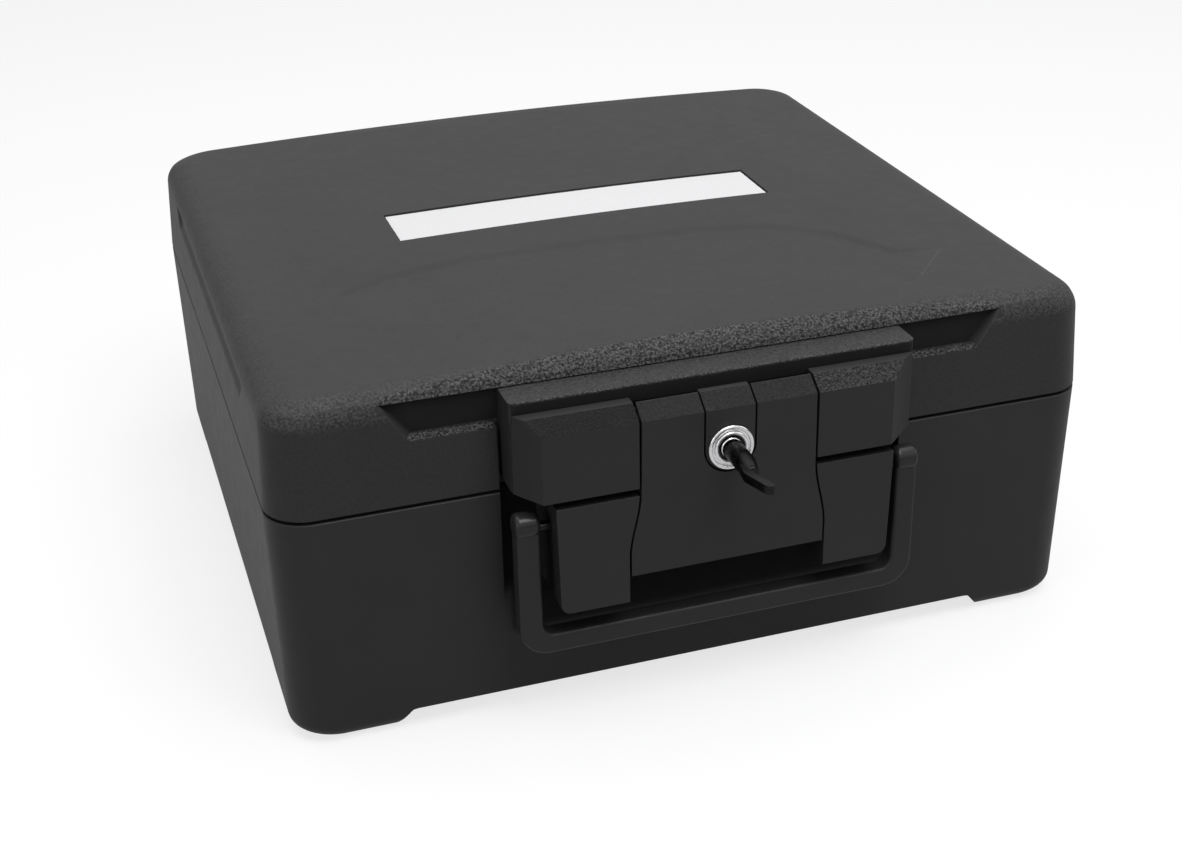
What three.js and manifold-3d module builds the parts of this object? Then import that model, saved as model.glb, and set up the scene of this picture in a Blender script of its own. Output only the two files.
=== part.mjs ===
// Fire-resistant chest with a hinged lid, a pull latch with a key lock, and a carry bail.
// Millimetres, +Z up, front towards -Y. Shapes are drawn about the middle of the case.
// The floor is at z = 0.
import * as THREE from 'three';
import { mergeVertices } from 'three/addons/utils/BufferGeometryUtils.js';
import Module from 'manifold-3d';

const wasm = await Module();
wasm.setup();

// Case
const caseWidth = 425;
const caseDepth = 398;
const partingHeight = 125;
const lidEdgeHeight = 182.5;
const crownRise = 5;
const cornerRadius = 21;
const topCornerRadius = 17;
const lidSideRound = 17;
const lidFrontRound = 13;
const lidTopRound = 16;
const lidDraft = 2;
const baseDraft = 1.5;
const bottomRound = 10.7;
const partingGap = 0.6;
const shellWall = 3;

// Feet
const footHeight = 11;
const footWidth = 51;
const footLength = 59;
const footSlope = 9;

// Recesses in the lid
const frontRecessDepth = 7;
const frontRecessLow = 157.5;
const frontRecessHigh = 176.7;
const frontRecessHalfLow = 145.5;
const frontRecessHalfHigh = 158.7;
const sideRecessDepth = 5;
const sideRecessHeight = 18;
const sideRecessDrop = 10.5;
const sideRecessHalfLow = 124;
const sideRecessHalfHigh = 136;
const recessBevel = 4;

// Label on the lid
const labelWidth = 214;
const labelDepth = 41;
const labelThickness = 0.4;
const labelBed = 0.8;

// Compartment
const sideThickness = 52.5;
const endThickness = 54;
const compartmentFloor = 41;
const lidHollowShare = 0.452;
const compartmentCorner = 15;
const linerWall = 2.5;
const baseFlange = 5;
const lidFlange = 3;
const gasketWidth = 5.4;
const gasketInset = 14;
const grooveDepth = 2.6;
const tongueDepth = 4;
const tongueClearance = 1;

// Clearances
const seatGap = 0.3;
const seamGap = 1;
const cutOverrun = 5;

// Scoop in the base behind the latch
const pocketHalfWidth = 104;
const pocketTurn = 108;
const pocketFoot = 66;

// Latch housing on the lid
const latchProud = 30;
const housingHalfWidth = 102;
const housingForward = 14;
const housingLift = 0.6;
const housingPlate = 5;
const housingWall = 3.5;
const lipRound = 3;
const lipHeight = 8.4;
const blockTop = 171;
const blockOuter = 101;
const blockChamfer = 13;
const blockChamferDepth = 15.5;
const topChamferDrop = 7.4;
const topChamferRun = 8.7;
const grooveWidth = 4;
const grooveFloor = 166;
const hollowTop = 155;

// Flap
const flapBottom = 84;
const flapHalfTop = 43.6;
const flapHalfMiddle = 44;
const flapHalfBottom = 49.2;
const flareTop = 128;
const flareBottom = 94;
const flapPlate = 4;
const flapDepth = 14;
const flapWall = 3;
const flapTopFlat = 0.6;
const notchLip = 1.2;
const notchRelief = 2.5;
const pivotInset = 12;
const pivotHeight = 161;
const pivotRadius = 2;
const hubRadius = 5;
const pivotReach = 58;

// Striker and hooks
const strikerInset = 17;
const strikerHeight = 108;
const strikerRadius = 2.5;
const strikerReach = 54;
const hookOffset = 30;
const hookWidth = 8;
const hookBottom = 96;
const hookTop = 130;
const hookPad = 3;
const hookSlope = 4;
const fingerPast = 2.5;
const fingerDepth = 4;
const hookScrewHeight = 122;

// Posts on the base
const postOuterTop = 86;
const postOuterBottom = 82.3;
const postBottom = 69.8;
const postDrop = 1.1;
const postCorner = 5;
const keeperPlate = 4;
const keeperPlateBottom = 92;

// Carry bail
const bailHalfWidth = 103;
const bailBottom = 44.5;
const bailArm = 11.5;
const bailBar = 10.6;
const bailOuterCorner = 15;
const bailInnerCorner = 6;
const bailDepth = 10;
const bailInset = 7;
const bailBevel = 1.8;
const bailPivotHeight = 113;
const knuckleRadius = 8;
const knuckleProud = 1;
const knuckleEdge = 1;
const bailPinRadius = 2.5;
const bailPinRoot = 78;
const bailPinEnd = 99;

// Lock
const lockHeight = 144.8;
const insertHalfWidth = 12.3;
const insertDepth = 16;
const insertColumnBottom = 157.5;
const bezelRadius = 11.7;
const bezelHole = 6;
const bezelBase = 1.3;
const bezelStep = 0.9;
const bezelRim = 1.8;
const lockBodyRadius = 9.3;
const lockBodyLength = 19.5;
const plugRadius = 5.3;
const plugProud = 2.2;
const plugLength = 23;
const nutAcrossFlats = 21;
const nutThickness = 2.8;
const camThickness = 2;
const camHub = 5;
const camReach = 15;
const camHalfWidth = 3.5;

// Catch that the cam blocks
const catchHalfWidth = 5;
const catchPadBottom = 110;
const catchArmBottom = 122;
const catchArmTop = 126;
const catchTop = 133;
const catchReach = 26;
const catchThickness = 2;
const catchScrewHeight = 115;

// Key
const keyThickness = 2.2;
const keyBladeHeight = 6.6;
const keyInside = 14;
const keyNeck = 13.2;
const keyBowLength = 33;
const keyBowHeight = 17;
const keyBowCorner = 5;
const keyHoleRadius = 3;
const keyNotches = 4;
const keyNotchPitch = 2.6;
const keyNotchDepth = 1.4;
const keySlotGap = 0.3;

// Hinges
const hingeOffset = 120;
const hingeWidth = 50;
const hingeKnuckle = 4.5;
const hingePinRadius = 2;
const leafThickness = 2.5;
const leafStart = 5.5;
const leafEnd = 30;
const middleKnuckle = 16;
const knuckleGap = 0.5;
const hingeScrewOffset = 16;
const hingeScrewReach = 20;

// Screws
const screwRadius = 1.6;
const screwHeadRadius = 3.2;
const screwHeadHeight = 1.8;
const screwBite = 2.3;
const housingScrewOffset = 30;
const housingScrewHeight = 140;
const keeperScrewOffset = 22;
const keeperScrewHeight = 116;

// Fineness of curves
const cornerSteps = 5;
const crossSteps = 8;
const roundSteps = 5;
const curveSteps = 6;
const rodSides = 20;
const screwSides = 14;
const ringSides = 36;
const innerRingShares = [0.7, 0.35, 0.05];

// Places that follow from the sizes
const front = -caseDepth / 2;
const back = caseDepth / 2;
const lidBottom = partingHeight + partingGap / 2;
const baseTop = partingHeight - partingGap / 2;
const lidWallTop = lidEdgeHeight - lidTopRound;
const sideRecessHigh = lidEdgeHeight - sideRecessDrop;
const sideRecessLow = sideRecessHigh - sideRecessHeight;
const compartmentWidth = caseWidth - 2 * sideThickness;
const compartmentDepth = caseDepth - 2 * endThickness;
const compartmentTop = partingHeight + lidHollowShare * (lidEdgeHeight - partingHeight);
const latchFace = front - latchProud;
const pocketFloor = front + frontRecessDepth;
const housingBack = pocketFloor - seatGap;
const housingNose = front - housingForward;
const housingTop = frontRecessHigh - seatGap;
const housingBottom = partingHeight + housingLift;
const plateFront = housingBack - housingPlate;
const blockInner = flapHalfMiddle + seamGap;
const postTop = partingHeight - postDrop;
const keeperFront = housingBack - keeperPlate;
const pivotY = latchFace + pivotInset;
const strikerY = latchFace + strikerInset;
const flapBack = latchFace + flapPlate;
const flapPadSeat = flapBack + seatGap;
const bailFront = latchFace + bailInset;
const bailPivotY = bailFront + bailDepth / 2;
const insertBack = latchFace + insertDepth;
const plugFront = latchFace - plugProud;
const plugBack = plugFront + plugLength;
const keyBowStart = latchFace - keyNeck;
const keyTip = keyBowStart - keyBowLength;
const hingeY = back + hingeKnuckle + seatGap;
const middleShift = -(keyTip + hingeY + hingeKnuckle) / 2;

// Finishes
const moulded = { color: 0x2c2c2d, roughness: 0.6, metalness: 0 };
const satin = { color: 0x272728, roughness: 0.45, metalness: 0 };
const lining = { color: 0x1f1f20, roughness: 0.5, metalness: 0 };
const filling = { color: 0xb9b4a8, roughness: 0.95, metalness: 0 };
const rubber = { color: 0x151515, roughness: 0.8, metalness: 0 };
const paper = { color: 0xf1f1f0, roughness: 0.6, metalness: 0 };
const chrome = { color: 0xd8dadc, roughness: 0.12, metalness: 1 };
const steel = { color: 0x9a9c9f, roughness: 0.35, metalness: 1 };
const darkSteel = { color: 0x3a3b3d, roughness: 0.35, metalness: 1 };

// Turns a closed geometry into a solid. Triangles that fold to a line at an axis are left out.
function toSolid(geometry) {
  const plain = geometry.clone();
  plain.deleteAttribute('normal');
  plain.deleteAttribute('uv');
  const merged = mergeVertices(plain);
  const corners = merged.index.array;
  const triangles = [];
  for (let i = 0; i < corners.length; i += 3) {
    const [a, b, c] = corners.slice(i, i + 3);
    if (a !== b && b !== c && c !== a) triangles.push(a, b, c);
  }
  const vertProperties = new Float32Array(merged.attributes.position.array);
  const triVerts = new Uint32Array(triangles);
  return new wasm.Manifold(new wasm.Mesh({ numProp: 3, vertProperties, triVerts }));
}

// Turns a solid back into a named mesh with its own material.
function toMesh(name, solid, finish) {
  const made = solid.getMesh();
  const geometry = new THREE.BufferGeometry();
  geometry.setAttribute('position', new THREE.BufferAttribute(new Float32Array(made.vertProperties), 3));
  geometry.setIndex(new THREE.BufferAttribute(new Uint32Array(made.triVerts), 1));
  geometry.computeVertexNormals();
  const mesh = new THREE.Mesh(geometry, new THREE.MeshStandardMaterial(finish));
  mesh.name = name;
  return mesh;
}

function union(...solids) {
  return solids.reduce((sum, solid) => sum.add(solid));
}

function cutBy(solid, ...tools) {
  return tools.reduce((rest, tool) => rest.subtract(tool), solid);
}

const axisX = new THREE.Vector3(1, 0, 0);
const axisY = new THREE.Vector3(0, 1, 0);
const axisZ = new THREE.Vector3(0, 0, 1);
const minusY = new THREE.Vector3(0, -1, 0);

// An outline drawn in two axes and drawn out along the third.
function extrude(points, options, axes, origin) {
  const shape = new THREE.Shape(points.map(([u, v]) => new THREE.Vector2(u, v)));
  const geometry = new THREE.ExtrudeGeometry(shape, options);
  return toSolid(geometry.applyMatrix4(new THREE.Matrix4().makeBasis(...axes).setPosition(origin)));
}

// Points are [y, z], from x0 to x1.
function prismX(points, x0, x1) {
  const options = { depth: x1 - x0, bevelEnabled: false };
  return extrude(points, options, [axisY, axisZ, axisX], new THREE.Vector3(x0, 0, 0));
}

// Points are [x, z], from y0 to y1, with the edges eased by a bevel where one is given.
function prismY(points, y0, y1, bevel = 0) {
  const options = {
    depth: y1 - y0 - 2 * bevel,
    bevelEnabled: bevel > 0,
    bevelThickness: bevel,
    bevelSize: bevel,
    bevelOffset: -bevel,
    bevelSegments: 2,
  };
  return extrude(points, options, [axisX, axisZ, minusY], new THREE.Vector3(0, y1 - bevel, 0));
}

// Points are [x, y], from z0 to z1.
function prismZ(points, z0, z1) {
  const options = { depth: z1 - z0, bevelEnabled: false };
  return extrude(points, options, [axisX, axisY, axisZ], new THREE.Vector3(0, 0, z0));
}

function box(x0, x1, y0, y1, z0, z1) {
  const geometry = new THREE.BoxGeometry(x1 - x0, y1 - y0, z1 - z0);
  return toSolid(geometry.translate((x0 + x1) / 2, (y0 + y1) / 2, (z0 + z1) / 2));
}

function rodX(radius, x0, x1, y, z, sides = rodSides) {
  const geometry = new THREE.CylinderGeometry(radius, radius, x1 - x0, sides);
  return toSolid(geometry.rotateZ(-Math.PI / 2).translate((x0 + x1) / 2, y, z));
}

function rodY(radius, y0, y1, x, z, sides = rodSides) {
  const geometry = new THREE.CylinderGeometry(radius, radius, y1 - y0, sides);
  return toSolid(geometry.translate(x, (y0 + y1) / 2, z));
}

// A piece turned about a line along Y. Profile points are [radius, y].
function turnedY(profile, x, z, sides = ringSides) {
  const points = profile.map(([radius, y]) => new THREE.Vector2(radius, y));
  return toSolid(new THREE.LatheGeometry(points, sides).translate(x, 0, z));
}

// A piece turned about a line along X. Profile points are [radius, x].
function turnedX(profile, y, z, sides = ringSides) {
  const points = profile.map(([radius, x]) => new THREE.Vector2(radius, x));
  return toSolid(new THREE.LatheGeometry(points, sides).rotateZ(-Math.PI / 2).translate(0, y, z));
}

// Points of an arc, both ends included.
function arc(centreU, centreV, radius, fromAngle, toAngle, steps = curveSteps) {
  const points = [];
  for (let i = 0; i <= steps; i++) {
    const angle = fromAngle + ((toAngle - fromAngle) * i) / steps;
    points.push([centreU + radius * Math.cos(angle), centreV + radius * Math.sin(angle)]);
  }
  return points;
}

function mirrored([u, v]) {
  return [-u, v];
}

function mirroredPoints(points) {
  return points.map(mirrored).reverse();
}

// Both copies of something that stands to the left and to the right.
function onBothSides(make) {
  return union(make(-1), make(1));
}

function crownAt(x) {
  const share = x / (caseWidth / 2);
  return crownRise * (1 - share * share);
}

// One ring of a rounded rectangle, counter-clockwise seen from above.
function rectangleRing(left, right, near, far, radius, heightAt) {
  const quarter = Math.PI / 2;
  const across = (from, to, y) => {
    const points = [];
    for (let i = 1; i < crossSteps; i++) points.push([from + ((to - from) * i) / crossSteps, y]);
    return points;
  };
  const points = [
    ...across(left + radius, right - radius, near),
    ...arc(right - radius, near + radius, radius, -quarter, 0, cornerSteps),
    ...arc(right - radius, far - radius, radius, 0, quarter, cornerSteps),
    ...across(right - radius, left + radius, far),
    ...arc(left + radius, far - radius, radius, quarter, 2 * quarter, cornerSteps),
    ...arc(left + radius, near + radius, radius, 2 * quarter, 3 * quarter, cornerSteps),
  ];
  return points.map(([x, y]) => [x, y, heightAt(x)]);
}

// A closed skin over rings of equal point counts, each one counter-clockwise seen from the last ring's side.
function loftGeometry(rings) {
  const count = rings[0].length;
  const positions = rings.flat(2);
  const index = [];
  for (let start = 0; start < (rings.length - 1) * count; start += count) {
    for (let i = 0; i < count; i++) {
      const a = start + i;
      const b = start + ((i + 1) % count);
      index.push(a, b, b + count, a, b + count, a + count);
    }
  }
  const cap = (ring, start, flip) => {
    const hub = positions.length / 3;
    for (let k = 0; k < 3; k++) positions.push(ring.reduce((sum, point) => sum + point[k] / count, 0));
    for (let i = 0; i < count; i++) {
      const a = start + i;
      const b = start + ((i + 1) % count);
      index.push(hub, flip ? b : a, flip ? a : b);
    }
  };
  cap(rings[0], 0, true);
  cap(rings[rings.length - 1], (rings.length - 1) * count, false);
  const geometry = new THREE.BufferGeometry();
  geometry.setAttribute('position', new THREE.Float32BufferAttribute(positions, 3));
  geometry.setIndex(index);
  return geometry;
}

function roundedBlock(halfWidth, halfDepth, radius, z0, z1) {
  const ring = (z) => rectangleRing(-halfWidth, halfWidth, -halfDepth, halfDepth, radius, () => z);
  return toSolid(loftGeometry([ring(z0), ring(z1)]));
}

// How far the walls lean in at a height.
function lidLean(z) {
  return (lidDraft * (z - lidBottom)) / (lidWallTop - lidBottom);
}

function baseLean(z) {
  return (baseDraft * (baseTop - z)) / (baseTop - bottomRound);
}

// The lid's outer form from a height upwards, drawn in by an offset.
function lidForm(offset, bottom) {
  const ringAt = (side, near, radius, heightAt) => {
    const halfWidth = caseWidth / 2 - side - offset;
    const far = back - side - offset;
    return rectangleRing(-halfWidth, halfWidth, front + near + offset, far, radius - offset, heightAt);
  };
  const rings = [
    ringAt(lidLean(bottom), lidLean(bottom), cornerRadius, () => bottom),
    ringAt(lidDraft, lidDraft, cornerRadius, () => lidWallTop),
  ];
  for (let i = 1; i <= roundSteps; i++) {
    const turn = ((Math.PI / 2) * i) / roundSteps;
    const rise = Math.sin(turn);
    const reach = 1 - Math.cos(turn);
    const radius = cornerRadius + (topCornerRadius - cornerRadius) * reach;
    const heightAt = (x) => lidWallTop + (lidTopRound - offset + crownAt(x)) * rise;
    rings.push(ringAt(lidDraft + lidSideRound * reach, lidDraft + lidFrontRound * reach, radius, heightAt));
  }
  const edge = rings[rings.length - 1];
  for (const share of innerRingShares) {
    rings.push(edge.map(([x, y]) => [x * share, y * share, lidEdgeHeight - offset + crownAt(x * share)]));
  }
  return toSolid(loftGeometry(rings));
}

// The base's outer form up to a height, drawn in by an offset.
function baseForm(offset, top) {
  const ringAt = (side, z) => {
    const halfWidth = caseWidth / 2 - side - offset;
    const halfDepth = caseDepth / 2 - side - offset;
    return rectangleRing(-halfWidth, halfWidth, -halfDepth, halfDepth, cornerRadius - offset, () => z);
  };
  const rings = [];
  for (let i = roundSteps; i >= 0; i--) {
    const turn = ((Math.PI / 2) * i) / roundSteps;
    const side = baseDraft + bottomRound * (1 - Math.cos(turn));
    rings.push(ringAt(side, bottomRound - (bottomRound - offset) * Math.sin(turn)));
  }
  rings.push(ringAt(baseLean(top), top));
  return toSolid(loftGeometry(rings));
}

// The scoop in the base's front wall, grown on every side.
function basePocket(growth) {
  const outside = front - cutOverrun;
  const above = partingHeight + cutOverrun;
  const points = [[outside, above], [outside, pocketFoot - growth]];
  for (let i = 0; i <= curveSteps; i++) {
    const turn = ((Math.PI / 2) * i) / curveSteps;
    const y = front + growth + frontRecessDepth * Math.sin(turn);
    points.push([y, pocketFoot - growth + (pocketTurn - pocketFoot) * (1 - Math.cos(turn))]);
  }
  points.push([pocketFloor + growth, above]);
  return prismX(points, -pocketHalfWidth - growth, pocketHalfWidth + growth);
}

// The matching pocket in the lid, up to the floor of the front recess.
function lidPocket(growth) {
  const reach = pocketHalfWidth + growth;
  const outside = front - cutOverrun;
  const top = frontRecessLow + recessBevel + seatGap + growth;
  return box(-reach, reach, outside, pocketFloor + growth, partingHeight - cutOverrun, top);
}

// A long recess with slanted ends. Its floor is smaller than its mouth by the bevel, but for its upper edge.
function recess(halfLow, halfHigh, low, high, depth, face, growth, turn) {
  const ring = (y) => {
    const inset = (recessBevel * (y - face)) / depth - growth;
    const bottom = [halfLow - inset, low + inset];
    const top = [halfHigh - inset, high + growth];
    return [top, bottom, mirrored(bottom), mirrored(top)].map(([x, z]) => [x, y, z]);
  };
  const mouth = ring(face - cutOverrun);
  const floor = ring(face + depth).map(([x, y, z]) => [x, y + growth, z]);
  return toSolid(loftGeometry([mouth, floor]).rotateZ(turn));
}

function frontRecess(growth) {
  return recess(frontRecessHalfLow, frontRecessHalfHigh, frontRecessLow, frontRecessHigh,
    frontRecessDepth, front, growth, 0);
}

function sideRecess(growth, side) {
  return recess(sideRecessHalfLow, sideRecessHalfHigh, sideRecessLow, sideRecessHigh,
    sideRecessDepth, -caseWidth / 2, growth, (side * Math.PI) / 2);
}

// Screws along Y. The head sits on the seat, and outward is the side it looks to.
function screw(x, seat, z, outward, grip) {
  const under = seat + outward * seatGap;
  const top = under + outward * screwHeadHeight;
  const end = seat - outward * (grip + screwBite);
  const head = rodY(screwHeadRadius, Math.min(under, top), Math.max(under, top), x, z, screwSides);
  return head.add(rodY(screwRadius, Math.min(top, end), Math.max(top, end), x, z, screwSides));
}

function screwBore(x, seat, z, outward, grip) {
  const end = seat - outward * (grip + screwBite + seatGap);
  const mouth = seat + outward * seatGap;
  return rodY(screwRadius + seatGap, Math.min(mouth, end), Math.max(mouth, end), x, z, screwSides);
}

// Where each screw goes: side, seat, height, outward and grip.
const screwPlaces = {
  housing: (side) => [side * housingScrewOffset, plateFront, housingScrewHeight, -1, housingPlate + seatGap],
  keeper: (side) => [side * keeperScrewOffset, keeperFront, keeperScrewHeight, -1, keeperPlate + seatGap],
  hook: (side) => [side * hookOffset, flapPadSeat + hookPad, hookScrewHeight, 1, hookPad + seatGap],
  catch: () => [0, flapPadSeat + catchThickness, catchScrewHeight, 1, catchThickness + seatGap],
  cam: () => [0, plugBack + seatGap + camThickness, lockHeight, 1, camThickness + seatGap],
};

// A hinge screw, on the lid (level 1) or on the base (level -1).
function hingeScrewPlace(x, level) {
  const z = partingHeight + level * hingeScrewReach;
  const lean = level > 0 ? lidLean(z) : baseLean(z);
  return [x, back - lean + seatGap + leafThickness, z, 1, leafThickness + seatGap];
}

function hingeScrewBores(level) {
  const bores = [];
  for (const side of [-1, 1]) {
    for (const end of [-1, 1]) {
      bores.push(screwBore(...hingeScrewPlace(side * hingeOffset + end * hingeScrewOffset, level)));
    }
  }
  return bores;
}

// Base
function baseCavity(gap) {
  const below = box(-caseWidth, caseWidth, -caseDepth, caseDepth, -cutOverrun, footHeight + shellWall + gap);
  return cutBy(baseForm(shellWall + gap, partingHeight + cutOverrun), below, basePocket(shellWall + gap));
}

function footChannel(half) {
  const slope = (footSlope * cutOverrun) / footHeight;
  return [[-half - slope, -cutOverrun], [half + slope, -cutOverrun], [half - footSlope, footHeight],
    [footSlope - half, footHeight]];
}

function baseShell() {
  return cutBy(
    baseForm(0, baseTop),
    prismY(footChannel(caseWidth / 2 - footWidth), -caseDepth, caseDepth),
    prismX(footChannel(caseDepth / 2 - footLength), -caseWidth, caseWidth),
    basePocket(0),
    baseCavity(0),
    screwBore(...screwPlaces.keeper(-1)),
    screwBore(...screwPlaces.keeper(1)),
    ...hingeScrewBores(-1),
  );
}

function tub(growth, bottom, top) {
  const halfWidth = compartmentWidth / 2 + growth;
  const halfDepth = compartmentDepth / 2 + growth;
  return roundedBlock(halfWidth, halfDepth, compartmentCorner + growth, bottom, top);
}

function layer(solid, z0, z1) {
  return solid.intersect(box(-caseWidth, caseWidth, -caseDepth, caseDepth, z0, z1));
}

function baseLiner() {
  const outside = tub(linerWall, compartmentFloor - linerWall, baseTop);
  const flange = layer(baseCavity(seatGap), baseTop - baseFlange, baseTop);
  const grooveOuter = gasketInset + gasketWidth / 2 + seatGap;
  const grooveInner = gasketInset - gasketWidth / 2 - seatGap;
  const above = partingHeight + cutOverrun;
  const groove = tub(grooveOuter, baseTop - grooveDepth, above).subtract(tub(grooveInner, 0, above));
  return cutBy(outside.add(flange), tub(0, compartmentFloor, above), groove);
}

function rimGasket() {
  const bottom = baseTop - grooveDepth + seatGap;
  const outside = tub(gasketInset + gasketWidth / 2, bottom, partingHeight);
  return outside.subtract(tub(gasketInset - gasketWidth / 2, 0, partingHeight + cutOverrun));
}

function baseInsulation() {
  const fill = layer(baseCavity(seatGap), 0, baseTop - baseFlange - seatGap);
  const bed = tub(linerWall + seatGap, compartmentFloor - linerWall - seatGap, partingHeight);
  return fill.subtract(bed);
}

// Lid
function lidCavity(gap) {
  const wall = shellWall + gap;
  return cutBy(lidForm(wall, partingHeight - cutOverrun), frontRecess(wall), sideRecess(wall, -1),
    sideRecess(wall, 1), lidPocket(wall));
}

function labelBlock(growth, low, high) {
  const half = labelWidth / 2 + growth;
  const points = (level) => {
    const line = [];
    for (let i = -crossSteps; i <= crossSteps; i++) {
      const x = (half * i) / crossSteps;
      line.push([x, lidEdgeHeight + crownAt(x) + level]);
    }
    return line;
  };
  const reach = labelDepth / 2 + growth;
  return prismY([...points(low), ...points(high).reverse()], -reach, reach);
}

function lidShell() {
  return cutBy(
    lidForm(0, lidBottom),
    frontRecess(0),
    sideRecess(0, -1),
    sideRecess(0, 1),
    lidPocket(0),
    labelBlock(seatGap, -labelBed, cutOverrun),
    lidCavity(0),
    screwBore(...screwPlaces.housing(-1)),
    screwBore(...screwPlaces.housing(1)),
    ...hingeScrewBores(1),
  );
}

function labelPlate() {
  return labelBlock(0, seatGap - labelBed, seatGap - labelBed + labelThickness);
}

function lidPan(growth, bottom, top) {
  return tub(growth - tongueClearance, bottom, top);
}

function lidLiner() {
  const bottom = baseTop - tongueDepth;
  const outside = lidPan(0, bottom, compartmentTop + linerWall);
  const flange = layer(lidCavity(seatGap), lidBottom, lidBottom + lidFlange);
  return outside.add(flange).subtract(lidPan(-linerWall, bottom - cutOverrun, compartmentTop));
}

function lidInsulation() {
  const fill = layer(lidCavity(seatGap), lidBottom + lidFlange + seatGap, lidEdgeHeight + crownRise);
  return fill.subtract(lidPan(seatGap, partingHeight, compartmentTop + linerWall + seatGap));
}

// Latch housing, flap and lock carrier share these outlines.
function chamferProfile(low, flatEnd, rear, step) {
  return [[latchFace, low], [latchFace, blockTop - topChamferDrop], [latchFace + topChamferRun, blockTop],
    [flatEnd, blockTop], [flatEnd, step], [rear, step], [rear, low]];
}

function lockRod(radius, y0, y1) {
  return rodY(radius, y0, y1, 0, lockHeight, ringSides);
}

function pivotBore() {
  return rodX(pivotRadius + seatGap, -pivotReach - seatGap, pivotReach + seatGap, pivotY, pivotHeight);
}

function housingBeam() {
  const below = housingBottom - cutOverrun;
  const corner = lipRound;
  const profile = [[housingBack, below], [housingBack, housingTop],
    ...arc(housingNose + corner, housingTop - corner, corner, Math.PI / 2, Math.PI), [housingNose, below]];
  const half = housingHalfWidth;
  const plan = [[half, housingBack], ...arc(half - corner, housingNose + corner, corner, 0, -Math.PI / 2)];
  const outline = [...plan, ...mirroredPoints(plan)];
  const beam = prismX(profile, -half, half).intersect(prismZ(outline, housingBottom, housingTop));
  return beam.subtract(box(-blockInner, blockInner, housingNose - cutOverrun, plateFront,
    housingBottom - cutOverrun, housingTop - lipHeight));
}

function housingBlock(side) {
  const root = housingNose + housingWall;
  const plan = [[blockInner, latchFace], [blockOuter - blockChamfer, latchFace],
    [blockOuter, latchFace + blockChamferDepth], [blockOuter, root], [blockInner, root]];
  const placed = side < 0 ? mirroredPoints(plan) : plan;
  const profile = chamferProfile(housingBottom, housingNose - grooveWidth, root, grooveFloor);
  return prismZ(placed, housingBottom, blockTop).intersect(prismX(profile, -blockOuter, blockOuter));
}

function housingHollow(side) {
  const plan = [[blockInner + housingWall, latchFace + housingWall],
    [blockOuter - blockChamfer - housingWall / 2, latchFace + housingWall],
    [blockOuter - housingWall, latchFace + blockChamferDepth + housingWall / 2],
    [blockOuter - housingWall, plateFront], [blockInner + housingWall, plateFront]];
  return prismZ(side < 0 ? mirroredPoints(plan) : plan, housingBottom - cutOverrun, hollowTop);
}

function latchHousing() {
  return cutBy(
    housingBeam().add(onBothSides(housingBlock)),
    housingHollow(-1),
    housingHollow(1),
    pivotBore(),
    screwBore(...screwPlaces.housing(-1)),
    screwBore(...screwPlaces.housing(1)),
  );
}

// The tongue that carries the lock: straight sides, round below the lock's centre.
function insertOutline(growth, top = blockTop + growth) {
  const half = insertHalfWidth + growth;
  return [[half, top], [-half, top], ...arc(0, lockHeight, half, Math.PI, 2 * Math.PI, 2 * curveSteps)];
}

function lockCarrier() {
  const profile = chamferProfile(0, housingNose - grooveWidth, insertBack, grooveFloor);
  const tongue = prismY(insertOutline(0), latchFace, insertBack);
  const face = tongue.intersect(prismX(profile, -insertHalfWidth, insertHalfWidth));
  const column = box(-insertHalfWidth, insertHalfWidth, insertBack - housingWall, plateFront - seatGap,
    insertColumnBottom, grooveFloor);
  const bore = lockRod(lockBodyRadius + seatGap, latchFace - cutOverrun, insertBack + cutOverrun);
  return cutBy(face.add(column), bore, pivotBore());
}

// Half the flap's width at a height: it widens in an S curve towards its lower edge.
function flapHalf(z) {
  if (z >= flareTop) {
    return flapHalfMiddle + ((flapHalfTop - flapHalfMiddle) * (z - flareTop)) / (blockTop - flareTop);
  }
  const share = Math.min(1, (flareTop - z) / (flareTop - flareBottom));
  return flapHalfMiddle + (flapHalfBottom - flapHalfMiddle) * share * share * (3 - 2 * share);
}

// The right edge of the flap from one height up to another, moved out by a gap.
function flapEdge(low, high, gap) {
  const turns = [];
  for (let i = 0; i <= 2 * curveSteps; i++) {
    turns.push(flareBottom + ((flareTop - flareBottom) * i) / (2 * curveSteps));
  }
  const heights = [low, ...turns.filter((z) => z > low && z < high), high];
  return heights.map((z) => [flapHalf(z) + gap, z]);
}

function flapOutline(inset, top) {
  const edge = flapEdge(flapBottom + inset, top, -inset);
  return [...edge, ...mirroredPoints(edge)];
}

function latchFlap() {
  const rear = latchFace + flapDepth;
  const flatEnd = latchFace + topChamferRun + flapTopFlat;
  const profile = chamferProfile(flapBottom - cutOverrun, flatEnd, rear, grooveFloor);
  const block = prismX(profile, -flapHalfBottom, flapHalfBottom);
  const plate = prismY(flapOutline(0, blockTop), latchFace, rear).intersect(block);
  const hollow = prismY(flapOutline(flapWall, hollowTop), flapBack, rear + cutOverrun);
  const hub = rodX(hubRadius, flapWall - flapHalfTop, flapHalfTop - flapWall, pivotY, pivotHeight);
  const notchEnd = pivotY + hubRadius + cutOverrun;
  return cutBy(
    plate.subtract(hollow).add(hub),
    prismY(insertOutline(seamGap), latchFace - cutOverrun, notchEnd),
    prismY(insertOutline(seamGap + notchRelief, lockHeight), latchFace + notchLip, notchEnd),
    pivotBore(),
    screwBore(...screwPlaces.hook(-1)),
    screwBore(...screwPlaces.hook(1)),
    screwBore(...screwPlaces.catch()),
  );
}

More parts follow.
